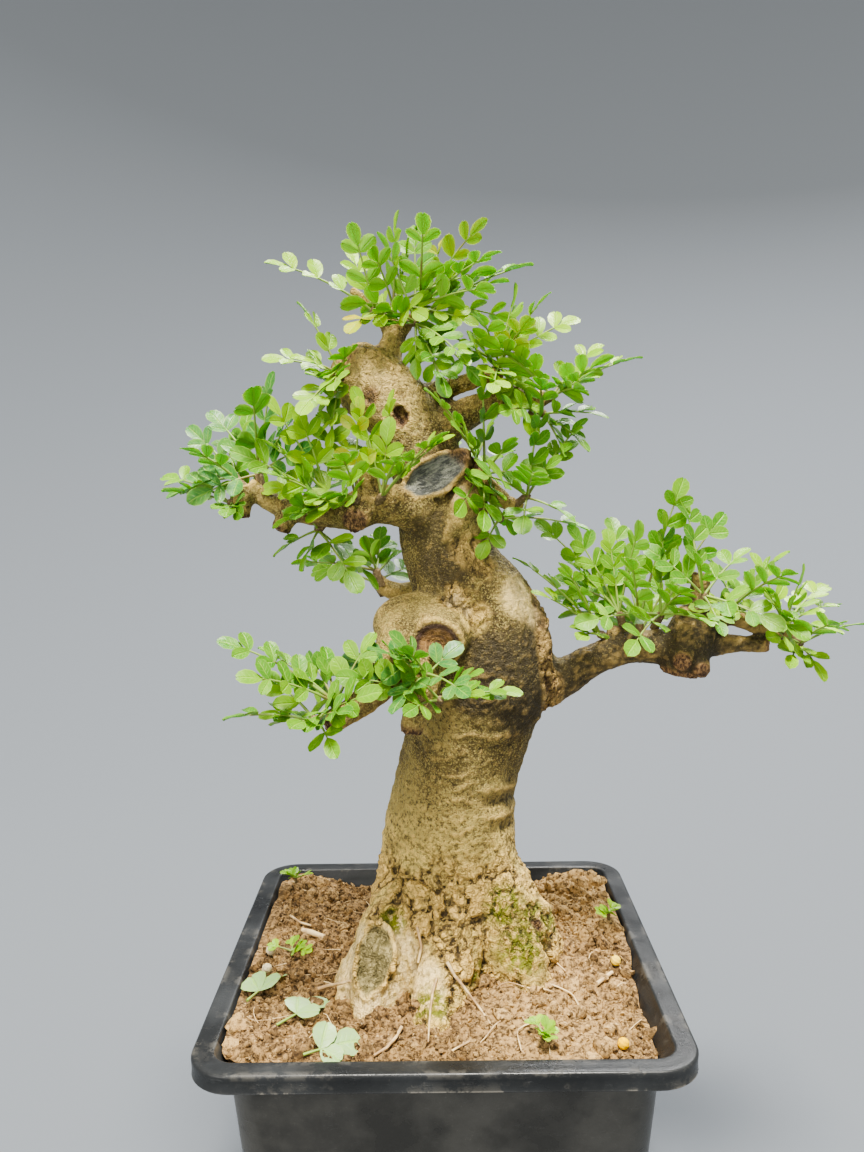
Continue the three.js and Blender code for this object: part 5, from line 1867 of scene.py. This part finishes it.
        faces, sides = [], []
        for r in range(rows - 1):
            for c in range(row - 1):
                faces.append([top(r, c), top(r + 1, c), top(r + 1, c + 1), top(r, c + 1)])
                sides.append(0.0)
                faces.append([below(r, c), below(r, c + 1), below(r + 1, c + 1), below(r + 1, c)])
                sides.append(1.0)
        for r in (0, rows - 1):
            for c in range(row - 1):
                quad = [top(r, c), top(r, c + 1), below(r, c + 1), below(r, c)]
                faces.append(list(dict.fromkeys(quad if r == 0 else quad[::-1])))
                sides.append(1.0)
        made = mesh_object(f"leaflet_{kind}", np.array(points) / MM, faces)
        mesh = made.data
        corner = [(own[i][0], own[i][1], side) for face, side in zip(faces, sides) for i in face]
        mesh.shade_smooth()
        write_attribute(mesh, "blade", "FLOAT_VECTOR", np.array(corner), "CORNER")
        margin = []
        for a, b in (edge.vertices for edge in mesh.edges):
            (start, left), (end, right) = own[a], own[b]
            margin.append(abs(left) == abs(right) == 1.0 or start == end in (0.0, 1.0))
        write_attribute(mesh, "sharp_edge", "BOOLEAN", margin, "EDGE")
        return made

    def recipe(self) -> NodeTree:
        """A tree that sets leaflets on marked points and makes stalks and twigs round.

        Returns:
            The tree of nodes.
        """
        recipe = Recipe("leafy spray", Leaflets="Collection", Blade="Material", Stalk="Material",
                        Twig="Material", Stalk_sides="Int")
        given, named = recipe.given, recipe.named

        def of_kind(number: int) -> Value:
            """The points of one kind.

            Args:
                number: 0 for leaflets, 1 for stalks, 2 for twigs.

            Returns:
                Their geometry.
            """
            mine = recipe.graph.add("FunctionNodeCompare", {2: named("kind", "INT"), 3: number},
                                    data_type="INT", operation="EQUAL")
            inputs = {"Geometry": given("Geometry"), "Selection": mine}
            return recipe.graph.add("GeometryNodeSeparateGeometry", inputs)

        parts = [recipe.strand(of_kind(number), given("Stalk_sides"), given(skin))
                 for number, skin in ((1, "Stalk"), (2, "Twig"))]
        turn = recipe.graph.add("FunctionNodeEulerToRotation", {0: named("turn", "FLOAT_VECTOR")})
        placed = recipe.placed(given("Leaflets"), of_kind(0), Instance_Index=named("pick", "INT"),
                               Rotation=turn, Scale=named("size", "FLOAT_VECTOR"))
        parts.append(recipe.skinned(recipe.real(placed), given("Blade")))
        return recipe.close(recipe.joined(parts))

    def grow(self, leaves: Sequence[Leaf], twigs: Sequence[Sequence[Station]]) -> dict[str, list]:
        """Works out where every leaflet, stalk and twig of a piece goes.

        Args:
            leaves: Leaves of the piece.
            twigs: Woody twigs, each a list of middles and radii.

        Returns:
            Points, edges and attributes by name.
        """
        out: dict[str, list] = {key: [] for key in
                                ("points", "edges", "kind", "pick", "turn", "size", "tint", "radius_m")}

        def put(point: Sequence[float], kind: int, pick: int = 0, turn: Point = (0.0, 0.0, 0.0),
                size: Point = (1.0, 1.0, 1.0), tint: Point = (0.0, 0.0, 0.0), radius: float = 0.1) -> None:
            """Adds one point with all its attributes."""
            out["points"].append(tuple(point))
            for key, value in (("kind", kind), ("pick", pick), ("turn", turn), ("size", size), ("tint", tint),
                               ("radius_m", radius * MM)):
                out[key].append(value)

        for twig in twigs:
            for i, (*place, radius) in enumerate(twig):
                if i:
                    out["edges"].append((len(out["points"]) - 1, len(out["points"])))
                put(place, 2, radius=radius)
        for leaf in leaves:
            self.lay_leaf(leaf, put, out)
        return out

    def lay_leaf(self, leaf: Leaf, put: Callable[..., None], out: dict[str, list]) -> None:
        """Adds one leaf: its stalk and its leaflets.

        Args:
            leaf: The leaf.
            put: Adds one point.
            out: What has been laid so far.
        """
        span = leaf.tip - leaf.root
        length = float(np.linalg.norm(span))
        middle = (leaf.root + leaf.tip) / 2 + np.array([0, 0, length * leaf.arch])
        outward = unit(np.array([leaf.root[0], leaf.root[1], 0.0]))

        def rib(t: float) -> tuple[np.ndarray, np.ndarray, np.ndarray, np.ndarray]:
            """The rib of the leaf.

            Args:
                t: Share of its length.

            Returns:
                Place, direction, upper side and left there.
            """
            place = (1 - t) ** 2 * leaf.root + 2 * t * (1 - t) * middle + t * t * leaf.tip
            along = unit(2 * (1 - t) * (middle - leaf.root) + 2 * t * (leaf.tip - middle))
            up = np.array([0.0, -0.18, 0.85]) + 0.32 * outward
            up = unit(up - along * (up @ along))
            side = np.cross(up, along)
            c, s = math.cos(leaf.turn), math.sin(leaf.turn)
            up, side = up * c + np.cross(along, up) * s, side * c + np.cross(along, side) * s
            return place, along, up, side

        steps = max(4, int(length / 4))
        end = 1 - (self.end_leaflet - 0.5) / length
        for i in range(steps + 1):
            t = end * i / steps
            place, _, up, _ = rib(t)
            if i:
                out["edges"].append((len(out["points"]) - 1, len(out["points"])))
            put(place - up * 0.15, 1, radius=self.stalk_radius * (1.15 - 0.55 * i / steps))
        scale = leaf.leaflet / Leaf.leaflet
        last = length - self.end_leaflet * scale - self.end_stalk
        first = min(length * self.first_pair, last)
        pairs = max(1, round((last - first) / (self.pitch * scale)) + 1)
        a, b = leaf.seed
        shift = 0.30 * (draw(a, b, 91) - 0.5)
        for p in range(pairs):
            s = first + (last - first) * p / (pairs - 1) if pairs > 1 else last
            size = leaf.leaflet * (0.88 + 0.14 * math.sin((p + 1) / pairs * math.pi))
            for side_sign in (-1, 1):
                key = 10 * p + side_sign
                place, along, up, side = rib(min(1.0, s / length))
                angle = self.leaflet_angle + 0.24 * (draw(a * 7 + b, key, 1) - 0.5)
                fold = self.fold + 0.5 * (draw(a * 7 + b, key, 2) - 0.5)
                aside = side * side_sign * math.cos(fold) + up * math.sin(fold)
                forward = unit(along * math.cos(angle) + aside * math.sin(angle))
                roll = 0.5 * (draw(a * 7 + b, key, 3) - 0.5)
                self.lay_leaflet(put, place, forward, up, roll, size * (0.92 + 0.16 * draw(a, key, 4)), leaf,
                                 (a * 31 + b, key), shift)
        place, along, up, _ = rib(end)
        self.lay_leaflet(put, place, along, up, 0.3 * (draw(a, b, 5) - 0.5), self.end_leaflet * scale, leaf,
                         (a * 31 + b, 99), shift)

    def lay_leaflet(self, put: Callable[..., None], place: np.ndarray, forward: np.ndarray, up: np.ndarray,
                    roll: float, size: float, leaf: Leaf, seed: tuple[int, int], shift: float) -> None:
        """Adds one leaflet.

        Args:
            put: Adds one point.
            place: Where it joins the stalk.
            forward: The way it points.
            up: The upper side of the stalk there.
            roll: Turn about its own length.
            size: Its length.
            leaf: The leaf it belongs to.
            seed: Numbers for its own draws.
            shift: Change of age of the whole leaf.
        """
        up = unit(up - forward * (up @ forward))
        side = np.cross(up, forward)
        up, side = up * math.cos(roll) + side * math.sin(roll), side * math.cos(roll) - up * math.sin(roll)
        turn = Matrix((forward, side, up)).transposed().to_euler("XYZ")
        i, j = seed
        young, bloom, rust = leaf.age.value
        young = min(1.0, max(0.0, young + shift + 0.35 * (draw(i, j, 6) - 0.5)))
        bloom = max(0.0, bloom + 0.3 * (draw(i, j, 7) - 0.5))
        rust = min(1.0, rust * (0.5 + draw(i, j, 8)))
        broad = leaf.broad * (0.9 + 0.2 * draw(i, j, 10))
        put(place, 0, pick=int(draw(i, j, 9) * self.kinds), turn=tuple(turn),
            size=(size * MM, size * MM * broad, size * MM), tint=(young, bloom, rust))

    def piece(self, name: str, leaves: Sequence[Leaf], twigs: Sequence[Sequence[Station]],
              tree: NodeTree, blades: Template, finishes: Sequence[Finish], node: str,
              slot: str) -> None:
        """Makes one leafy piece.

        Args:
            name: Name of the piece.
            leaves: Its leaves.
            twigs: Its woody twigs.
            tree: The tree of nodes that makes it.
            blades: The kinds of leaflet.
            finishes: Blade, stalk and twig.
            node: Solid that it stands for.
            slot: Material slot of the record.
        """
        laid = self.grow(leaves, twigs)
        made = mesh_object(name, np.array(laid["points"]), [], laid["edges"])
        for key, kind in (("kind", "INT"), ("pick", "INT"), ("turn", "FLOAT_VECTOR"),
                          ("size", "FLOAT_VECTOR"), ("tint", "FLOAT_VECTOR"), ("radius_m", "FLOAT")):
            write_attribute(made.data, key, kind, np.array(laid[key]))
        blade, stalk, twig = (finish.material() for finish in finishes)
        Recipe.apply(made, tree, Leaflets=blades.collection, Blade=blade, Stalk=stalk, Twig=twig,
                     Stalk_sides=self.stalk_sides)
        for key in ("kind", "pick", "turn", "size", "radius_m"):
            if key in made.data.attributes:
                made.data.attributes.remove(made.data.attributes[key])
        hand_over(made, slot, [node])

    def spray_leaves(self, index: int, root: Point, age: Age, tips: Sequence[Point],
                     between: Sequence[Point]) -> tuple[list, list]:
        """Leaves and spur of one spray.

        Args:
            index: Number of the spray.
            root: Where the leaves grow from.
            age: Age of its leaves.
            tips: Where its main leaves reach to.
            between: Where the leaves that fill the spray reach to.

        Returns:
            The leaves and the twigs.
        """
        origin = np.array(root, float)
        axis = unit(sum(unit(np.array(tip) - origin) for tip in tips))
        leaves = [Leaf(origin - axis * 0.5 * i, np.array(tip, float), 1.1 * (draw(index, i, 0) - 0.5),
                       (index, i), Age.COPPER if tip in self.coppery else age) for i, tip in enumerate(tips)]
        for x, y, z in between:
            turn, size = 1.5 * (draw(x, y, z) - 0.5), 8.0 + 2.6 * draw(x + 3, y, z)
            leaves.append(Leaf(origin, np.array((x, y, z), float), turn, (x, y), age, 0.10, size))
        back, bud = origin - axis * self.spur_back, origin + axis * 1.2
        return leaves, [[(*back, 1.9), (*(origin - axis * 3), 1.7), (*origin, 1.9), (*bud, 1.0)]]

    def build(self, finishes: Sequence[Finish], tree: NodeTree, blades: Template) -> None:
        """Builds every spray.

        Args:
            finishes: Blade, stalk and twig.
            tree: The tree of nodes that makes a spray.
            blades: The kinds of leaflet.
        """
        for index, (name, root, age, tips, between) in enumerate(self.sprays):
            leaves, twigs = self.spray_leaves(index, root, age, tips, between)
            slot = "leaf_blue_green" if name.startswith("left") else "leaf_green"
            self.piece(f"leaves_{name}", leaves, twigs, tree, blades, finishes, f"spray_{name}", slot)


@dataclass
class GroundPlants:
    """Seedlings in the soil and loose leaves on it."""

    soil: Soil
    foliage: Foliage
    seedlings: Sequence[tuple[str, tuple[float, float], float, float]] = (
        ("seedling_back", (-72, 62), 5, 12), ("seedling_right", (74, 16), 6, 11),
        ("seedling_front", (36, -66), 3, 12), ("sprig_left", (-64, -8), 3, 14))
    fallen: Sequence[tuple[str, tuple[float, float], tuple[float, float]]] = (
        ("fallen_leaf_a", (-76, -44), (-66, -26)), ("fallen_leaf_b", (-62, -60), (-46, -44)),
        ("fallen_leaf_c", (-50, -76), (-32, -68)))

    def build(self, finishes: Sequence[Finish], tree: NodeTree, blades: Template) -> None:
        """Builds each seedling and each fallen leaf.

        Args:
            finishes: Blade, stalk and twig.
            tree: The tree of nodes that makes them.
            blades: The kinds of leaflet.
        """
        for index, (name, foot, height, spread) in enumerate(self.seedlings):
            ground = float(self.soil.height(*foot))
            top = np.array([*foot, ground + height])
            leaves = []
            for i in range(5):
                angle = index + i * 2.8 if i < 2 else index + 1.2 * i
                reach = spread if i < 2 else spread * 0.72
                tip = top + np.array([reach * math.cos(angle), reach * math.sin(angle), 2.0 + (i > 1) * 2.0])
                roll = 0.3 * (draw(index, i, 60) - 0.5)
                leaves.append(Leaf(top, tip, roll, (index + 200, i), Age.FRESH, 0.1, 5.2))
            stem = [[(*foot, ground - 5, 0.7), (*foot, ground + 2, 0.7), (*top, 0.8)]]
            self.foliage.piece(f"{name}_plant", leaves, stem, tree, blades, finishes, name, "seedling")
        for index, (name, root, tip) in enumerate(self.fallen):
            low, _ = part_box(name)
            z = low.z / MM + 1.2
            leaf = Leaf(np.array([*root, z]), np.array([*tip, z]), 0.2 * (index - 1), (index + 300, 1),
                        Age.FADED, 0.05, 10.5, 1.5)
            self.foliage.piece(f"{name}_blade", [leaf], [], tree, blades, finishes, name, "leaf_fallen")


@dataclass
class Pellets:
    """Feed pellets on the soil."""

    radius: float = 2.25
    names: Sequence[tuple[str, str]] = (
        ("pellet_yellow", "pellet_yellow"), ("pellet_straw", "pellet_pale"), ("pellet_cream", "pellet_pale"),
        ("pellet_white", "pellet_pale"))

    def places(self) -> list[Spot]:
        """Where the pellets lie.

        Returns:
            Place, height and radius of each pellet's foot.
        """
        found = []
        for name, _ in self.names:
            low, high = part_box(name)
            middle = (low + high) / 2 / MM
            found.append((middle.x, middle.y, low.z / MM + 0.25, 1.2))
        return found

    def build(self, yellow: Finish, straw: Finish, pale: Finish) -> None:
        """Builds each pellet as a slightly uneven ball.

        Args:
            yellow: Finish of the yellow one.
            straw: Finish of the pale yellow one.
            pale: Finish of the others.
        """
        for index, (name, slot) in enumerate(self.names):
            low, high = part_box(name)
            middle = (low + high) / 2
            work = bmesh.new()
            bmesh.ops.create_icosphere(work, subdivisions=4, radius=1.0)
            for point in work.verts:
                x, y, z = point.co
                lumpy = 1 + 0.05 * math.sin(3 * x + index) * math.cos(4 * y) + 0.03 * math.sin(9 * z + 5 * x)
                point.co *= lumpy * (self.radius - 0.15) * MM
                point.co += middle
            made = from_bmesh(f"{name}_ball", work)
            shade(made)
            made.data.materials.append((yellow, straw, pale, pale)[index].material())
            hand_over(made, slot, [name])


@dataclass
class Studio:
    """Pale floor, soft lights and the camera."""

    camera_at: Point = (-0.5, -403.0, 325.6)
    pitch: float = 6.43
    yaw: float = -0.30
    roll: float = -0.74
    focal_pixels: float = 983.7
    frame_height: int = 1152
    sensor: float = 36.0
    floor_radius: float = 700.0
    floor_bend: float = 3200.0
    look: str = "AgX - Medium High Contrast"
    sky: Colour = (0.80, 0.82, 0.84)
    sky_strength: float = 0.55
    lights: Sequence[tuple[str, Point, Point, float, float, Colour]] = (
        ("key", (0.16, -1.05, 3.85), (0.0, 0.0, 0.2), 0.96, 405.0, (1.0, 0.96, 0.885)),
        ("fill", (-0.8, -1.4, 0.8), (0.0, 0.0, 0.2), 1.2, 22.0, (1.0, 0.97, 0.92)),
        ("rim", (0.7, 1.6, 2.4), (0.0, 0.0, 0.25), 1.2, 100.0, (1.0, 1.0, 1.0)))

    def camera(self) -> None:
        """Sets the camera where the picture was taken from."""
        p, w, r = (math.radians(a) for a in (self.pitch, self.yaw, self.roll))
        forward = Vector((math.sin(w) * math.cos(p), math.cos(w) * math.cos(p), -math.sin(p)))
        right = Vector((math.cos(w), -math.sin(w), 0.0))
        up = right.cross(forward)
        across = right * math.cos(r) + up * math.sin(r)
        upward = up * math.cos(r) - right * math.sin(r)
        data = bpy.data.cameras.new("camera")
        data.sensor_width = self.sensor
        data.lens = self.focal_pixels / self.frame_height * self.sensor
        data.clip_start, data.clip_end = 0.01, 50.0
        made = linked("camera", data)
        made.matrix_world = Matrix.Translation(Vector(self.camera_at) * MM) @ Matrix(
            (across, upward, -forward)).transposed().to_4x4()
        bpy.context.scene.camera = made

    def light(self, name: str, place: Point, aim: Point, size: float, power: float, colour: Colour) -> None:
        """Adds one soft light.

        Args:
            name: Its name.
            place: Where it hangs, in metres.
            aim: What it shines at, in metres.
            size: Its side in metres.
            power: Its power in watts.
            colour: Its colour.
        """
        data = bpy.data.lights.new(name, "AREA")
        data.size, data.energy, data.color = size, power, colour
        made = linked(name, data)
        made.location = place
        made.rotation_euler = (Vector(aim) - Vector(place)).to_track_quat("-Z", "Y").to_euler()

    def build(self, finish: Finish) -> None:
        """Builds the stage.

        Args:
            finish: The floor's paper.
        """
        self.camera()
        start, bend = self.floor_radius, self.floor_bend
        profile = [(1.0, 0.0), (300.0, 0.0)]
        for a in np.linspace(0.0, 0.42 * math.pi, 40):
            profile.append((start + bend * math.sin(a), bend * (1 - math.cos(a))))
        angles = turn_of(96)
        rings = [np.column_stack([r * np.cos(angles), r * np.sin(angles), np.full(len(angles), z)])
                 for r, z in profile]
        points, faces = loft(rings)
        floor = mesh_object("floor", points, [face[::-1] for face in faces[:-1]])
        shade(floor)
        floor.data.materials.append(finish.material())
        world = bpy.data.worlds.new("studio")
        world.use_nodes = True
        back = world.node_tree.nodes["Background"]
        back.inputs[0].default_value = (*self.sky, 1.0)
        back.inputs[1].default_value = self.sky_strength
        bpy.context.scene.world = world
        bpy.context.scene.view_settings.look = self.look
        for lamp in self.lights:
            self.light(*lamp)


def main() -> None:
    """Builds every part in order."""
    logging.basicConfig(level=logging.INFO, format="%(name)s %(message)s")
    Studio().build(StageFinish())
    pot = Pot()
    pot.build(PlasticFinish())
    pellets = Pellets()
    soil = Soil(pot)
    soil.build(SoilFinish(), pellets.places())
    soil.rootlets(StrawFinish())
    Wood().build(BarkFinish())
    foliage = Foliage()
    blades = Template("leaflets")
    for kind in range(foliage.kinds):
        blades.take(foliage.leaflet_kind(kind))
    tree = foliage.recipe()
    finishes = (LeafFinish(), StalkFinish(), TwigFinish())
    foliage.build(finishes, tree, blades)
    GroundPlants(soil, foliage).build(finishes, tree, blades)
    blades.drop()
    pellets.build(PelletFinish(), PelletFinish("straw_powder", (0.88, 0.62, 0.10)),
                  PelletFinish("pale_powder", (0.66, 0.57, 0.36)))


if __name__ == "__main__":
    main()
